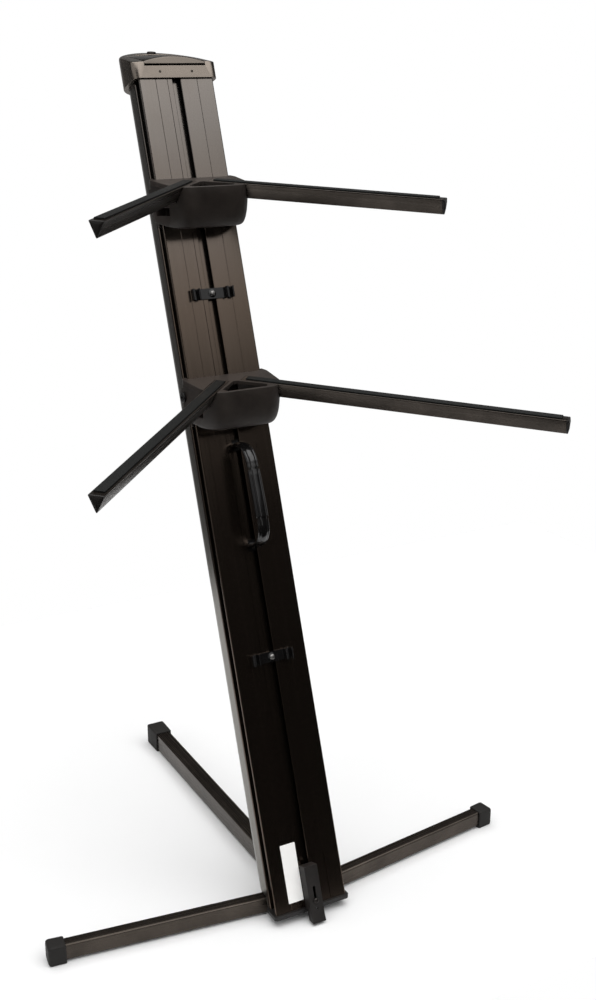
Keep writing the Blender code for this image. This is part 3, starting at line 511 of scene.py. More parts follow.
shell = prism(outer + list(reversed(inner)), floor_cut, COL_TOP)
shell = cut(shell, notch(0.040, 0.070, 0.0262, 0.0535, 0.0312), notch(-0.070, -0.040, 0.0262, 0.0535, 0.0312), notch(-0.0150, 0.0150, 0.062, 0.095, 0.0355))
build("column_back_shell", shell, "shell", COL, "column", ["column_rear_shell"], smooth=30, bake=True)

# ------------------------------------------------------------ bottom end cap
capo = rounded([(-0.0570, -0.0040), (0.0570, -0.0040), (0.0600, -0.0010), (0.0600, 0.0235), (-0.0600, 0.0235), (-0.0600, -0.0010)], 0.0012, 3)
endcap = cut(prism(capo, 0.0118, FACE_Z0 - GAP), box(-0.0112, 0.0112, -0.010, -0.0008, 0.0, 0.03))
build("bottom_cap", endcap, "black", STAND, "column", ["bottom_end_cap"], bevel=0.0006)

# ------------------------------------------------------------------ top cap
CAP_HW, CAP_BACK = 0.0640, 0.0847
TOP_SLOPE = 0.46
TOP_TILT = math.atan(TOP_SLOPE)


def cap_top(x, y):
    return 1.2082 + TOP_SLOPE * y + 0.004 * (1 - (x / CAP_HW) ** 2)


def edge_drop(y):
    return 0.0012 + 0.0033 * min(1.0, max(0.0, (y - 0.010) / 0.020))


cap_right = [(0.0545, -0.0035), (0.0583, -0.0025), (0.0615, -0.0003), (0.0634, 0.0032), (CAP_HW, 0.0075), (CAP_HW, 0.0200), (CAP_HW, 0.0240), (CAP_HW, 0.0290), (CAP_HW, SHELL_STRAIGHT)]
for i in range(1, 26):
    t = math.pi / 2 * i / 26
    cap_right.append((CAP_HW * math.cos(t), SHELL_STRAIGHT + (CAP_BACK - SHELL_STRAIGHT) * math.sin(t)))
front_part = rounded([(0.0, -0.0035)] + cap_right[:5] + [(CAP_HW, 0.0200)], [0, 0.03, 0.02, 0.02, 0.02, 0.03, 0], 3)[1:-1]
cap_right = front_part + cap_right[5:]
cap_out = cap_right + [(0.0, CAP_BACK)] + [(-x, y) for x, y in reversed(cap_right)]


def scaled_outline(k):
    return [(x * k, 0.036 + (y - 0.036) * k) for x, y in cap_out]


layers = [[(x, y, FACE_LEN) for x, y in scaled_outline(0.9955)], [(x, y, FACE_LEN + 0.0003) for x, y in cap_out]]
for f, k in ((1.0, 1.0), (0.68, 0.9965), (0.44, 0.992), (0.25, 0.985), (0.11, 0.975), (0.03, 0.965), (0.0, 0.955), (0.0, 0.80), (0.0, 0.55), (0.0, 0.25)):
    layers.append([(x, y, cap_top(x, y) - f * edge_drop(y)) for x, y in scaled_outline(k)])
cap = loft(layers)
sock_right = [(HW + GAP, -GAP), (HW + GAP, SHELL_STRAIGHT)]
for i in range(1, 26):
    t = math.pi / 2 * i / 26
    sock_right.append(((HW + GAP) * math.cos(t), SHELL_STRAIGHT + (SHELL_BACK + 0.0006 - SHELL_STRAIGHT) * math.sin(t)))
sock = sock_right + [(0.0, SHELL_BACK + 0.0006)] + [(-x, y) for x, y in reversed(sock_right)]
LID_HX, LID_Y1 = 0.0458, 0.0534
PIN_Y, PIN_Z = 0.0600, 1.2359


def ledge(y):
    return 1.2035 + 0.40 * y


INSERT = Matrix.Translation((0, 0.0715, cap_top(0, 0.0715))) @ Matrix.Rotation(TOP_TILT, 4, "X")
pocket = prism([(-LID_HX - 0.0005, -0.02), (LID_HX + 0.0005, -0.02), (LID_HX + 0.0005, LID_Y1 + 0.0005), (-LID_HX - 0.0005, LID_Y1 + 0.0005)],
               lambda x, y: ledge(y), 1.27)
cap = cut(cap, prism(sock, 1.14, COL_TOP + GAP), pocket, box(-0.0286, 0.0286, LID_Y1 - 0.002, PIN_Y + 0.0042, PIN_Z - 0.0052, 1.27),
          box(-0.0415, 0.0415, 0.0215, 0.0500, 1.190, 1.27), place(turned([(0.00175, -0.0345), (0.00175, 0.0345)], 20), (0, PIN_Y, PIN_Z), "X"),
          moved(turned([(0.0068, -0.0080), (0.0068, 0.02)], 36), INSERT))
for sx in (-1, 1):
    cap = cut(cap, place(turned([(0.0018, -0.004), (0.0018, 0.004)], 16), (sx * 0.0243, -0.0010, 1.1938), "Y"))
build("top_cap_body", cap, "cap", COL, "column", ["top_cap_housing"], smooth=30, bake=True)

for side, sx in (("left", -1), ("right", 1)):
    sc = place(turned([(0.0009, -0.0010), (0.0013, -0.0008), (0.0015, -0.0003), (0.0015, 0.0018)], 18), (sx * 0.0243, -0.0026, 1.1938), "Y")
    sc = cut(sc, box(sx * 0.0243 - 0.00025, sx * 0.0243 + 0.00025, -0.006, -0.0032, 1.1926, 1.1950))
    build("cap_screw_%s" % side, sc, "cap_finish_shaded", COL, "column", ["top_cap_screw_%s" % side])

ins = turned([(0.0065, -0.0078), (0.0065, 0.0016), (0.0063, 0.0021), (0.0058, 0.0025), (0.0052, 0.0026)], 40)
ins = cut(ins, turned([(0.0036, 0.0006), (0.0038, 0.02)], 6), turned([(0.0046, 0.0020), (0.0046, 0.02)], 32))
build("boom_insert", ins, "dark_steel", COL @ INSERT, "column", ["boom_mount_insert"], smooth=35, bake=True)

LID = COL @ Matrix.Translation((0, PIN_Y, PIN_Z))
xs = [LID_HX * math.sin(math.pi / 2 * k / 10) for k in range(-10, 11)]


def lid_top(x, y):
    k = max(0.0, 1 - (y + 0.0035) / 0.057)
    return cap_top(x, y) + 0.0055 * (1 - (x / LID_HX) ** 2) * k


secs = []
for y, drop in ((-0.0035, 0.0026), (-0.0031, 0.0014), (-0.0023, 0.0006), (-0.0010, 0.0001), (0.0008, 0.0), (0.004, 0.0), (0.0120, 0.0), (0.0125, 0.0), (0.025, 0.0), (0.04, 0.0), (0.0520, 0.0), (0.0531, 0.0003), (LID_Y1, 0.0008)):
    low = ledge(y) + (0.0030 if y < 0.0122 else 0.0003)
    lean_back = 0.11 * max(0.0, 1 - (y + 0.0035) / 0.012)
    tops = [(x, max(lid_top(x, y) - drop, low + 0.0004)) for x in xs]
    secs.append([(x, y - PIN_Y + lean_back * (z - low), z - PIN_Z) for x, z in tops] + [(x, y - PIN_Y, low - PIN_Z) for x in reversed(xs)])
lid = loft(secs)
lid = fuse(lid, box(-0.0280, 0.0280, -0.0086, 0.0, -0.0030, 0.0002), place(turned([(0.0032, -0.0280), (0.0035, -0.0277), (0.0035, 0.0277), (0.0032, 0.0280)], 28), (0, 0, 0), "X"))
lid = cut(lid, place(turned([(0.0019, -0.04), (0.0019, 0.04)], 18), (0, 0, 0), "X"))
build("cap_lid", lid, "cap_finish_shaded", LID, "lid", ["top_cap_lid"], smooth=30, bake=True)
build("cap_lid_pin", place(turned([(0.0012, -0.0342), (0.0015, -0.0339), (0.0015, 0.0339), (0.0012, 0.0342)], 20), (0, 0, 0), "X"), "steel", LID, "column", ["lid_hinge_pin"])


# ------------------------------------------------- slot hardware and handle
def cross_recess(y, z, depth=0.0012, arm=0.0020, w=0.0004):
    """Two crossed cutters for a screw's drive, seen from -Y."""
    return (box(-arm, arm, y - 0.01, y + depth, z - w, z + w), box(-w, w, y - 0.01, y + depth, z - arm, z + arm))


def slot_bolt(head_y, length=0.016, head_r=0.0042, shaft_r=0.0019, head_h=0.0024):
    prof = [(head_r * 0.30, -head_h), (head_r * 0.62, -head_h * 0.93), (head_r * 0.86, -head_h * 0.66), (head_r * 0.97, -head_h * 0.32), (head_r, 0.0), (shaft_r, 0.0), (shaft_r, 0.0085 - head_y)]
    screw = place(turned(prof, 28), (0, head_y, 0), "Y")
    screw = fuse(screw, box(-0.0108, 0.0108, 0.0030, 0.0078, -length / 2, length / 2))
    return cut(screw, *cross_recess(head_y - head_h, 0, head_h * 0.55, head_r * 0.52, head_r * 0.11))


HANDLE_RUN = [(-0.0003, 0.6640), (-0.0100, 0.6640), (-0.0215, 0.6620), (-0.0310, 0.6570), (-0.0375, 0.6495), (-0.0412, 0.6400), (-0.0425, 0.6290),
              (-0.0440, 0.6050), (-0.0455, 0.5800), (-0.0462, 0.5560), (-0.0455, 0.5460), (-0.0425, 0.5365), (-0.0365, 0.5290), (-0.0270, 0.5235),
              (-0.0150, 0.5208), (-0.0003, 0.5205)]


def spline(pts, per=6):
    """Smooth run through the points."""
    out = []
    for i in range(len(pts) - 1):
        p0, p1, p2, p3 = (Vector(pts[max(i - 1, 0)]), Vector(pts[i]), Vector(pts[i + 1]), Vector(pts[min(i + 2, len(pts) - 1)]))
        for k in range(per):
            t = k / per
            q = 0.5 * ((2 * p1) + (p2 - p0) * t + (2 * p0 - 5 * p1 + 4 * p2 - p3) * t * t + (-p0 + 3 * p1 - 3 * p2 + p3) * t ** 3)
            out.append(tuple(q))
    out.append(tuple(pts[-1]))
    return out


def sweep_yz(path, section):
    rings = []
    for i, (y, z) in enumerate(path):
        a = Vector(path[max(0, i - 1)])
        b = Vector(path[min(len(path) - 1, i + 1)])
        t = (b - a).normalized()
        nrm = Vector((t[1], -t[0]))
        sec = section(i / (len(path) - 1)) if callable(section) else section
        rings.append([(sx, y + nrm[0] * sn, z + nrm[1] * sn) for sx, sn in sec])
    return loft(rings)


def oval(hx, hn, n=32):
    return [(hx * math.copysign(abs(math.cos(a)) ** 0.88, math.cos(a)), hn * math.copysign(abs(math.sin(a)) ** 0.92, math.sin(a)))
            for a in [2 * math.pi * (i + 0.5) / n for i in range(n)]]


def band(points, rise, groove):
    """Raised central band with a groove on each side on the outward half of a section."""
    out = []
    for x, nn in points:
        if nn > 0:
            side = abs(x)
            nn += rise * math.exp(-(x / 0.0036) ** 2) - groove * math.exp(-((side - 0.0054) / 0.0008) ** 2)
        out.append((x, nn))
    return out


def end_lip(flat_end):
    """Handle half section: a shallow collar next to the grip."""
    def sec(t):
        u = t if flat_end else 1 - t
        k = 1.0 - 0.06 * max(0.0, 1 - abs(u - 0.93) / 0.03)
        f = 1.0 if u > 0.12 else 0.92 + 0.08 * u / 0.12
        return band(oval(0.0087 * k * f, 0.0040 * k, 56), 0.0002, 0.0008)
    return sec


run = spline(HANDLE_RUN)
upper_half, lower_half = run[:6 * 6 + 1], run[9 * 6:]
core = run[5 * 6 + 2:10 * 6 - 1]
bail = fuse(sweep_yz(upper_half, end_lip(True)), sweep_yz(core, oval(0.0062, 0.0026)), sweep_yz(lower_half, end_lip(False)))
for z in (HANDLE_RUN[0][1], HANDLE_RUN[-1][1]):
    bail = cut(bail, place(turned([(0.0021, -0.0130), (0.0021, 0.01)], 16), (0, 0, z), "Y"))
build("handle_bail", bail, "gloss", COL, "column", ["carry_handle_bail"], smooth=40)


def grip_sec(t):
    e = min(t, 1 - t)
    k = 1.0 if e > 0.07 else 1.0 - 0.05 * math.cos(math.pi / 2 * e / 0.07) ** 2
    if 0.045 < e < 0.07:
        k -= 0.03
    return band(oval(0.0094 * k, 0.0048 * k, 64), 0.0002, 0.0010)


grip_run = run[6 * 6 + 1:9 * 6]
dense = spline(grip_run[::3] + [grip_run[-1]], 6)
grip = sweep_yz(dense, grip_sec)
grip = cut(grip, sweep_yz(run[5 * 6 + 3:9 * 6 + 4], oval(0.0066, 0.0030)))
build("handle_grip", grip, "gloss", COL, "column", ["carry_handle_grip"], smooth=40)

# blank label: thin film with rounded corners
lab = rounded([(-0.0345, 0.0110), (-0.0110, 0.0110), (-0.0110, 0.0945), (-0.0345, 0.0945)], 0.0010, 3)
build("label_blank", loft([[(x, -0.0006, z) for x, z in lab], [(x, -GAP, z) for x, z in lab]]), "paper", COL, "column", ["blank_label"])

# -------------------------------------------------------------- foot latch
LATCH_FRONT = -0.0175
latch = box(-0.0103, 0.0103, LATCH_FRONT, -0.0008, -0.0150, 0.0600)
toe = loft([[(-0.0103, LATCH_FRONT, -0.0120), (0.0103, LATCH_FRONT, -0.0120), (0.0103, -0.0064, -0.0120), (-0.0103, -0.0064, -0.0120)],
            [(-0.0103, LATCH_FRONT - 0.0012, -0.0215), (0.0103, LATCH_FRONT - 0.0012, -0.0215), (0.0103, -0.0064, -0.0180), (-0.0103, -0.0064, -0.0180)]])
latch = cut(latch, box(-0.0076, 0.0076, LATCH_FRONT + 0.0032, 0.01, -0.0120, 0.0565), box(-0.02, 0.02, -0.0062, 0.01, -0.03, -0.0030))
slot_pts = [(0.0020 * math.cos(a), 0.0098 + 0.0020 * math.sin(a)) for a in [math.pi + math.pi * i / 10 for i in range(11)]] + \
           [(0.0020 * math.cos(a), 0.0290 + 0.0020 * math.sin(a)) for a in [math.pi * i / 10 for i in range(11)]]
latch = cut(latch, loft([[(x, LATCH_FRONT - 0.01, z) for x, z in slot_pts], [(x, LATCH_FRONT + 0.006, z) for x, z in slot_pts]]),
            place(turned([(0.0016, -0.006), (0.0016, 0.006)], 18), (0, LATCH_FRONT, -0.0008), "Y"))
latch = fuse(latch, toe)
build("foot_latch", latch, "latch", COL, "latch", ["latch_plate"], bevel=0.0007, angle=35, bake=True)
build("foot_latch_bolt", slot_bolt(LATCH_FRONT - 0.0004, 0.014, 0.0041, 0.0016, 0.0026), "dark_steel", COL @ Matrix.Translation((0, 0, 0.0100)), "column", ["latch_guide_bolt"])


# -------------------------------------------------------------- cable clips
def c_hook(cx, n=30):
    r1, r2, cy = 0.0047, 0.0063, -0.0063
    a0, a1 = math.radians(-50), math.radians(230)
    rm = (r1 + r2) / 2
    out = [(cx + r2 * math.cos(a), cy + r2 * math.sin(a)) for a in [a0 + (a1 - a0) * i / n for i in range(n + 1)]]
    tip1 = [(cx + rm * math.cos(a1) + 0.0008 * math.cos(b), cy + rm * math.sin(a1) + 0.0008 * math.sin(b)) for b in [a1 + math.pi * k / 6 for k in range(1, 6)]]
    inn = [(cx + r1 * math.cos(a), cy + r1 * math.sin(a)) for a in [a1 - (a1 - a0) * i / n for i in range(n + 1)]]
    tip0 = [(cx + rm * math.cos(a0) + 0.0008 * math.cos(b), cy + rm * math.sin(a0) + 0.0008 * math.sin(b)) for b in [a0 - math.pi + math.pi * k / 6 for k in range(1, 6)]]
    return prism(out + tip1 + inn + tip0, -0.0077, 0.0077)


for which, s in (("upper", 0.8800), ("lower", 0.3600)):
    mtx = COL @ Matrix.Translation((0, 0, s))
    base = box(-0.0235, 0.0235, -0.0028, -GAP, -0.0074, 0.0074)
    boss = place(turned([(0.0050, -0.0038), (0.0055, -0.0036), (0.0058, -0.0029), (0.0062, -0.0010)], 36), (0, 0, 0), "Y")
    clip = fuse(base, c_hook(-0.0260), c_hook(0.0260), boss)
    clip = cut(clip, place(turned([(0.0022, -0.02), (0.0022, 0.02)], 20), (0, 0, 0), "Y"))
    build("clip_%s" % which, clip, "gloss", mtx, "clip_" + which, ["cable_clip_" + which], bevel=0.00035, angle=40)
    build("clip_%s_bolt" % which, slot_bolt(-0.0041, 0.012, 0.0040, 0.0018), "steel", mtx, "clip_" + which, ["cable_clip_%s_bolt" % which])


# -------------------------------------------------------------------- tiers
def to_tier(y, dz):
    return (y * cg + dz * sg, -y * sg + dz * cg)


COLV = Matrix.Rotation(-GAMMA, 4, "X")


def level(z, k, lift, front, inset=0.0):
    back = -0.0074 - z * 0.24
    right = [(0.0630 + lift, back), (0.0655 * k, 0.0100 + back), (0.0602 * k, 0.0570 * front), (0.0445 * k, 0.0770 * front)]
    full = [(x, -u) for x, u in right] + [(-x, -u) for x, u in reversed(right)]
    pts = rounded(full, [0.001, 0.012, 0.034, 0.030, 0.030, 0.034, 0.012, 0.001], 7)
    cy = -0.030
    if inset:
        pts = [(x * (1 - inset / 0.06), cy + (y - cy) * (1 - inset / 0.045)) for x, y in pts]
    return [(x, y, z) for x, y in pts]


def cavity(z, hx, hm, uf, um):
    back = (0.0050 - z * sg) / cg
    pts = [(hx, -back, z), (hx, -um, z), (hm, -uf, z)]
    return pts + [(-x, y, zz) for x, y, zz in reversed(pts)]


def tri(h, deep, top):
    return [(-h, top), (h, top), (0.0, -deep)]


def arm_matrix(sx):
    d = Vector((sx * math.sin(SPREAD), -math.cos(SPREAD), 0))
    return Matrix.Translation((sx * ARM_ROOT_X, -ARM_ROOT_U, 0)) @ Matrix.Rotation(math.atan2(d.y, d.x), 4, "Z")


def along(pts, t0, t1):
    return loft([[(t0, y, z) for y, z in pts], [(t1, y, z) for y, z in pts]])


def bracket_body():
    body = loft([level(-BRACKET_H, 0.918, -0.0040, 0.842), level(-0.0574, 0.936, -0.0022, 0.866), level(-0.0560, 0.948, -0.0012, 0.888), level(-0.0535, 0.961, -0.0006, 0.912), level(-0.0500, 0.974, 0.0, 0.934),
                 level(-0.0450, 0.985, 0.0, 0.956), level(-0.0380, 0.995, 0.0, 0.976), level(-0.0280, 1.0, 0.0, 0.988), level(-0.0120, 1.0, 0.0, 0.998), level(-0.0012, 1.0, 0.0, 1.0),
                 level(-0.0004, 1.0, 0.0, 1.0, 0.0003), level(0.0, 1.0, 0.0, 1.0, 0.0010)])
    hollow = loft([cavity(-0.0610, 0.0530, 0.0365, 0.0590, 0.0445), cavity(-0.0500, 0.0562, 0.0392, 0.0680, 0.0486), cavity(-0.0050, 0.0576, 0.0412, 0.0720, 0.0500)])
    envelope = loft([level(-BRACKET_H, 0.908, -0.0050, 0.83), level(-0.0510, 0.960, -0.001, 0.918), level(-0.0360, 0.985, -0.001, 0.965), level(-0.0010, 0.99, -0.001, 0.985)])
    troughs = []
    for sx in (-1, 1):
        tr = moved(along(tri(0.0142, 0.0312, -0.0015), -0.0045, 0.075), arm_matrix(sx))
        troughs.append(boolean(tr, [copy_bm(envelope)], "INTERSECT"))
    envelope.free()
    body = fuse(cut(body, hollow), *troughs)
    for sx in (-1, 1):
        x0, x1 = sorted((sx * 0.0573, sx * 0.0618))
        body = fuse(body, moved(box(x0, x1, -0.0120, 0.0178, -0.0400, -0.0105), COLV))
        hx0, hx1 = sorted((sx * 0.0475, sx * 0.0600))
        body = fuse(body, moved(box(hx0, hx1, 0.0035, 0.0078, -0.0660, -0.0420), COLV))
    body = cut(body, moved(box(-0.0465, 0.0465, -0.0004, 0.12, -0.16, 0.16), COLV))
    for sx in (-1, 1):
        x0, x1 = sorted((sx * 0.0450, sx * 0.0570))
        body = cut(body, moved(box(x0, x1, -0.0004, 0.0034, -0.16, 0.16), COLV), moved(box(x0, x1, 0.0079, 0.12, -0.16, 0.16), COLV),
                   moved(box(x0, x1, 0.0030, 0.0080, -0.0418, 0.16), COLV), moved(box(x0, x1, 0.0030, 0.0080, -0.16, -0.0662), COLV))
        r0, r1 = sorted((sx * 0.0620, sx * 0.0800))
        body = cut(body, box(r0, r1, -0.0440, 0.03, -0.0390, -0.0070))
        if sx > 0:
            body = cut(body, moved(place(turned([(0.0034, -0.08), (0.0034, 0.08)], 28), (0, 0.0100, -0.0240), "X"), COLV))
        body = cut(body, moved(along(tri(0.01281, 0.0234, 0.0050), -0.0004, 0.12), arm_matrix(sx)))
    deck = rounded([(-0.0030, -0.0340), (-0.0340, -0.0650), (-0.0300, -0.0732), (0.0300, -0.0732), (0.0340, -0.0650), (0.0030, -0.0340)], 0.0020, 4)
    pocket = prism(deck, -0.0120, 0.0040)
    for sx in (-1, 1):
        pocket = cut(pocket, moved(along(tri(0.0150, 0.0400, 0.0090), -0.0022, 0.12), arm_matrix(sx)))
    body = cut(body, pocket)
    for sx in (-1, 1):
        side = [(0.0210, -0.0352), (0.0550, -0.0302), (0.0550, -0.0412), (0.0210, -0.0462)]
        x0, x1 = sorted((sx * 0.0500, sx * 0.0800))
        body = cut(body, loft([[(x0, -u, z) for u, z in side], [(x1, -u, z) for u, z in side]]))
    return body


def rounded_tri(h, deep, top, r, n=3):
    return rounded(tri(h, deep, top), r, n)


for tier, s in TIER_S.items():
    T = COL @ Matrix.Translation((0, 0, s)) @ Matrix.Rotation(GAMMA, 4, "X")
    build("bracket_%s" % tier, bracket_body(), "cast", T, "tier_" + tier, ["tier_%s_bracket" % tier], smooth=24)
    for side, sx in (("left", -1), ("right", 1)):
        ty, tz = to_tier(0.0100, -0.0240)
        K = T @ Matrix.Translation((0, ty, tz)) @ Matrix.Rotation(-GAMMA, 4, "X")
        head = [(0.0030, 0.0500), (0.0030, 0.0621), (0.0063, 0.0621), (0.0069, 0.0624), (0.0072, 0.0631),
                (0.0072, 0.0646), (0.0070, 0.0653), (0.0065, 0.0659), (0.0058, 0.0662)]
        knob = place(turned(head, 40), (0, 0, 0), "X")
        knob = cut(knob, place(turned([(0.0027, 0.0636), (0.0029, 0.07)], 6), (0, 0, 0), "X"))
        if sx < 0:
            knob = moved(knob, Matrix.Rotation(math.pi, 4, "Z"))
        build("clamp_knob_%s_%s" % (tier, side), knob, "black", K, "knob_%s_%s" % (tier, side), ["tier_%s_clamp_knob_%s" % (tier, side)], smooth=35)
        A = T @ arm_matrix(sx)
        L = ARM_LEN[tier]
        body = "arm_%s_%s" % (tier, side)
        o = rounded_tri(ARM_HALF, ARM_DEEP, 0.0, [0.0012, 0.0012, 0.0014], 4)
        i = rounded_tri(ARM_HALF - 0.0030, ARM_DEEP - 0.0052, -0.0017, [0.0008, 0.0008, 0.0008], 4)
        bm = bmesh.new()
        loops = [[bm.verts.new((t, y, z)) for y, z in oo] for oo, t in ((o, 0.0), (o, L - 0.0040), (i, L - 0.0040), (i, 0.0))]
        for a, b in zip(loops, loops[1:] + loops[:1]):
            for k in range(len(o)):
                j = (k + 1) % len(o)
                bm.faces.new((a[k], a[j], b[j], b[k]))
        build("%s_tribar" % body, bm, "arm", A, body, [body + "_tube"], smooth=30)
        pad = []
        for t, k in ((0.006, 0.86), (0.0068, 1.0), (L - 0.0113, 1.0), (L - 0.0105, 0.86)):
            w = 0.0070 * (0.9 + 0.1 * k)
            prof = [(-w, 0.0003), (w, 0.0003), (w, 0.0012), (w * 0.965, 0.0018), (w * 0.89, 0.0021), (w * 0.80, 0.0022), (-w * 0.80, 0.0022), (-w * 0.89, 0.0021), (-w * 0.965, 0.0018), (-w, 0.0012)]
            pad.append([(t, y, 0.0003 + (z - 0.0003) * (k if k < 1 else 1)) for y, z in prof])
        build("%s_strip" % body, loft(pad), "pad", A, body, [body + "_pad"], smooth=35)
        secs = []
        for t, k in ((L - 0.0037, 1.0), (L - 0.0019, 1.0), (L - 0.0012, 0.93), (L + 0.0001, 0.45)):
            secs.append([(t, y * k, -0.0075 + (z + 0.0075) * k) for y, z in o])
        plug = fuse(loft(secs), along([(y * 0.90, -0.0017 + (z + 0.0017) * 0.90 - 0.0006) for y, z in tri(ARM_HALF - 0.0030, ARM_DEEP - 0.0052, -0.0017)], L - 0.018, L - 0.0030))
        build("%s_tip" % body, plug, "plastic", A, body, [body + "_end_plug"], smooth=25)

# ------------------------------------------------------------------- legs
A_DIR = Vector((0, sl, cl))
for side in ("left", "right", "rear"):
    p = Vector(LEG_PIVOT[side])
    rear = side == "rear"
    d = Vector((0, 1, 0)) if rear else Vector((math.copysign(math.cos(SIDE_SWEEP), p.x), math.sin(SIDE_SWEEP), 0))
    flat = STAND @ Matrix.Translation(p) @ Matrix.Rotation(math.atan2(d.y, d.x), 4, "Z")
    w, h = REAR_TUBE if rear else SIDE_TUBE
    rim, fl = (REAR_RIM, REAR_FOOT) if rear else (SIDE_RIM, SIDE_FOOT)
    r0 = 0.0215 if rear else 0.0200
    wall = 0.0020 if rear else 0.0018
    o = rounded([(-w / 2, -h / 2), (w / 2, -h / 2), (w / 2, h / 2), (-w / 2, h / 2)], 0.0032, 7)
    i = rounded([(x - math.copysign(wall, x), y - math.copysign(wall, y)) for x, y in [(-w / 2, -h / 2), (w / 2, -h / 2), (w / 2, h / 2), (-w / 2, h / 2)]], 0.0010, 7)
    tube = ring(o, i, r0, rim + fl - 0.0100)
    tube = moved(tube, Matrix(((0, 0, 1, 0), (1, 0, 0, 0), (0, 1, 0, 0), (0, 0, 0, 1))))
    build("leg_%s_profile" % side, tube, "leg", flat, "leg_" + side, ["leg_%s_tube" % side], smooth=30)
    pz = p.z
    fw, ftop = (0.0300, 0.0355) if rear else (0.0256, 0.0290)

    def sec(t, hw, z0, z1, r):
        return [(t, y, z) for y, z in rounded([(-hw, z0), (hw, z0), (hw, z1), (-hw, z1)], r, 4)]
    e = rim + fl
    foot = loft([sec(rim + 0.0006, fw / 2 - 0.0016, -pz + 0.0, ftop - pz - 0.0008, 0.0022), sec(rim + 0.0012, fw / 2 - 0.0010, -pz, ftop - pz - 0.0002, 0.0024), sec(rim + 0.0024, fw / 2 - 0.0006, -pz, ftop - pz, 0.0024),
                 sec(e - 0.0045, fw / 2, -pz, ftop - pz, 0.0026), sec(e - 0.0022, fw / 2 - 0.0003, -pz + 0.0004, ftop - pz - 0.0004, 0.0028), sec(e - 0.0007, fw / 2 - 0.0013, -pz + 0.0014, ftop - pz - 0.0014, 0.0030),
                 sec(e, fw / 2 - 0.0030, -pz + 0.0032, ftop - pz - 0.0032, 0.0030)])
    foot = cut(foot, box(rim - 0.01, e - 0.0095, -w / 2 - GAP, w / 2 + GAP, -h / 2 - GAP, h / 2 + GAP))
    build("leg_%s_boot" % side, foot, "foot", flat, "leg_" + side, ["leg_%s_foot" % side], smooth=35)

# --------------------------------------------------- carried-over CAD nodes
CARRIED = {"leg_hub": "cast", "latch_spring": "steel"}
for n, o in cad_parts.items():
    if not o.hide_render:
        o.data.materials.clear()
        o.data.materials.append(M[CARRIED.get(n, "gloss" if "stud" in n else "dark_steel" if "tang" in n or "jaw" in n else "steel")])

# ------------------------------------------------------------------ studio
floor_mat = Graph("studio_floor")
fn = floor_mat.noise(3.0, detail=2.0)
floor_mat.set(Base_Color=floor_mat.ramp(fn, [(0.3, (0.90, 0.90, 0.90)), (0.7, (0.91, 0.91, 0.91))]), Roughness=0.9)
floor_mat.bsdf.inputs["Specular IOR Level"].default_value = 0.0
fme = bpy.data.meshes.new("floor")
fb = bmesh.new()
fb.faces.new([fb.verts.new(v) for v in ((-1.3, -0.50, 0), (1.3, -0.50, 0), (1.3, 0.95, 0), (-1.3, 0.95, 0))])
fb.to_mesh(fme)
fb.free()
floor = bpy.data.objects.new("floor", fme)
scene.collection.objects.link(floor)
fme.materials.append(floor_mat.mat)

world = scene.world or bpy.data.worlds.new("world")
scene.world = world
world.use_nodes = True
wt = world.node_tree
wt.nodes.clear()
wo = wt.nodes.new("ShaderNodeOutputWorld")
white = wt.nodes.new("ShaderNodeBackground")
white.inputs["Color"].default_value = (1, 1, 1, 1)
white.inputs["Strength"].default_value = 1.0
studio = wt.nodes.new("ShaderNodeBackground")
tc = wt.nodes.new("ShaderNodeTexCoord")
sx_ = wt.nodes.new("ShaderNodeSeparateXYZ")
wt.links.new(tc.outputs["Generated"], sx_.inputs[0])


def wrange(src, f0, f1, t0, t1):
    m = wt.nodes.new("ShaderNodeMapRange")
    m.interpolation_type = "SMOOTHSTEP"
    for k, v in (("From Min", f0), ("From Max", f1), ("To Min", t0), ("To Max", t1)):
        m.inputs[k].default_value = v
    wt.links.new(src, m.inputs["Value"])
    return m.outputs["Result"]


def wmath(op, *values):
    m = wt.nodes.new("ShaderNodeMath")
    m.operation = op
    for i, v in enumerate(values):
        if hasattr(v, "node"):
            wt.links.new(v, m.inputs[i])
        else:
            m.inputs[i].default_value = v
    return m.outputs[0]


DX, DY, DZ = sx_.outputs["X"], sx_.outputs["Y"], sx_.outputs["Z"]
level_len = wmath("MAXIMUM", wmath("SQRT", wmath("ADD", wmath("MULTIPLY", DX, DX), wmath("MULTIPLY", DY, DY))), 0.001)
# large soft panel in front and to the right, brighter towards its top
toward_key = wmath("DIVIDE", wmath("SUBTRACT", wmath("MULTIPLY", DX, 0.4848), wmath("MULTIPLY", DY, 0.8746)), level_len)
rise = wt.nodes.new("ShaderNodeValToRGB")
stops = ((0.0, 0.003), (0.362, 0.004), (0.410, 0.27), (0.464, 0.37), (0.500, 0.38), (0.530, 0.46), (0.556, 0.80), (0.620, 0.95))
while len(rise.color_ramp.elements) < len(stops):
    rise.color_ramp.elements.new(0.5)
for e, (pos, v) in zip(rise.color_ramp.elements, stops):
    e.position = pos
    e.color = (v, v, v, 1.0)
wt.links.new(DZ, rise.inputs["Fac"])
key_panel = wmath("MULTIPLY", wrange(toward_key, 0.70, 0.88, 0.0, 2.75), rise.outputs["Color"])
# ceiling panel that lights the floor
ceiling = wrange(DZ, 0.74, 0.82, 0.0, 3.00)
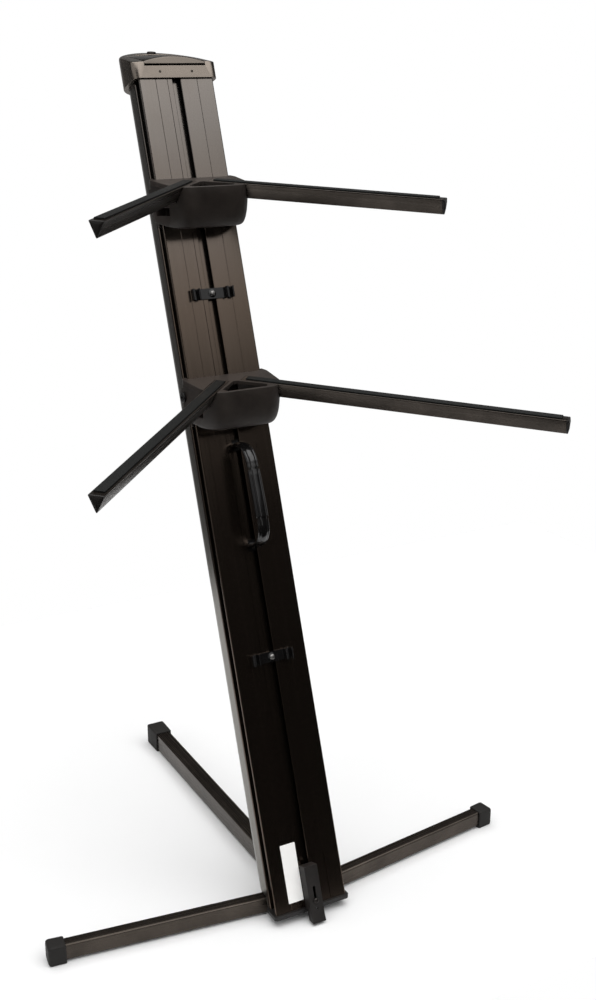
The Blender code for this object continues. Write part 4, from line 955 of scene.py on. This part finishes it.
# room wall at the back, paler to the right, and a soft strip on the left
back_zone = wmath("MULTIPLY", wrange(DY, -0.10, 0.35, 0.0, 1.0), wrange(DX, -0.42, -0.04, 0.12, 1.0))
wall = wmath("MULTIPLY", back_zone, wmath("MULTIPLY", wrange(DZ, 0.26, 0.34, 0.30, 0.0), wrange(DZ, -0.04, 0.01, 1.5, 1.0)))
# narrow strip in front, which draws the fine lines on the handle and the grooves
toward_strip = wmath("DIVIDE", wmath("ADD", wmath("MULTIPLY", DX, -0.035), wmath("MULTIPLY", DY, -0.999)), level_len)
strip = wmath("MULTIPLY", wrange(toward_strip, 0.9880, 0.9950, 0.0, 1.3), wmath("MULTIPLY", wrange(DZ, 0.06, 0.16, 0.0, 1.0), wrange(DZ, 0.42, 0.58, 1.0, 0.0)))
left_side = wmath("MULTIPLY", wrange(DX, -0.50, -0.72, 0.0, 1.0), wmath("MULTIPLY", wrange(DZ, 0.18, 0.34, 0.09, 0.85), wrange(DZ, -0.04, 0.01, 0.5, 1.0)))
total = wmath("ADD", wmath("MAXIMUM", wmath("MAXIMUM", key_panel, ceiling), wmath("MAXIMUM", wmath("MAXIMUM", wall, strip), left_side)), 0.005)
wt.links.new(total, studio.inputs["Strength"])
lp = wt.nodes.new("ShaderNodeLightPath")
mx = wt.nodes.new("ShaderNodeMixShader")
wt.links.new(lp.outputs["Is Camera Ray"], mx.inputs["Fac"])
wt.links.new(studio.outputs[0], mx.inputs[1])
wt.links.new(white.outputs[0], mx.inputs[2])
wt.links.new(mx.outputs[0], wo.inputs["Surface"])


def area(name, loc, target, size, size_y, power, color=(1, 1, 1)):
    la = bpy.data.lights.new(name, "AREA")
    la.shape = "RECTANGLE"
    la.size, la.size_y, la.energy, la.color = size, size_y, power, color
    ob = bpy.data.objects.new(name, la)
    scene.collection.objects.link(ob)
    ob.location = loc
    ob.rotation_euler = (Vector(target) - Vector(loc)).to_track_quat("-Z", "Y").to_euler()
    return ob


area("left_strip", (-2.6, -0.6, 0.9), (0, 0, 0.7), 0.6, 1.8, 1.5)

scene.view_settings.view_transform = "Standard"
scene.view_settings.look = "None"
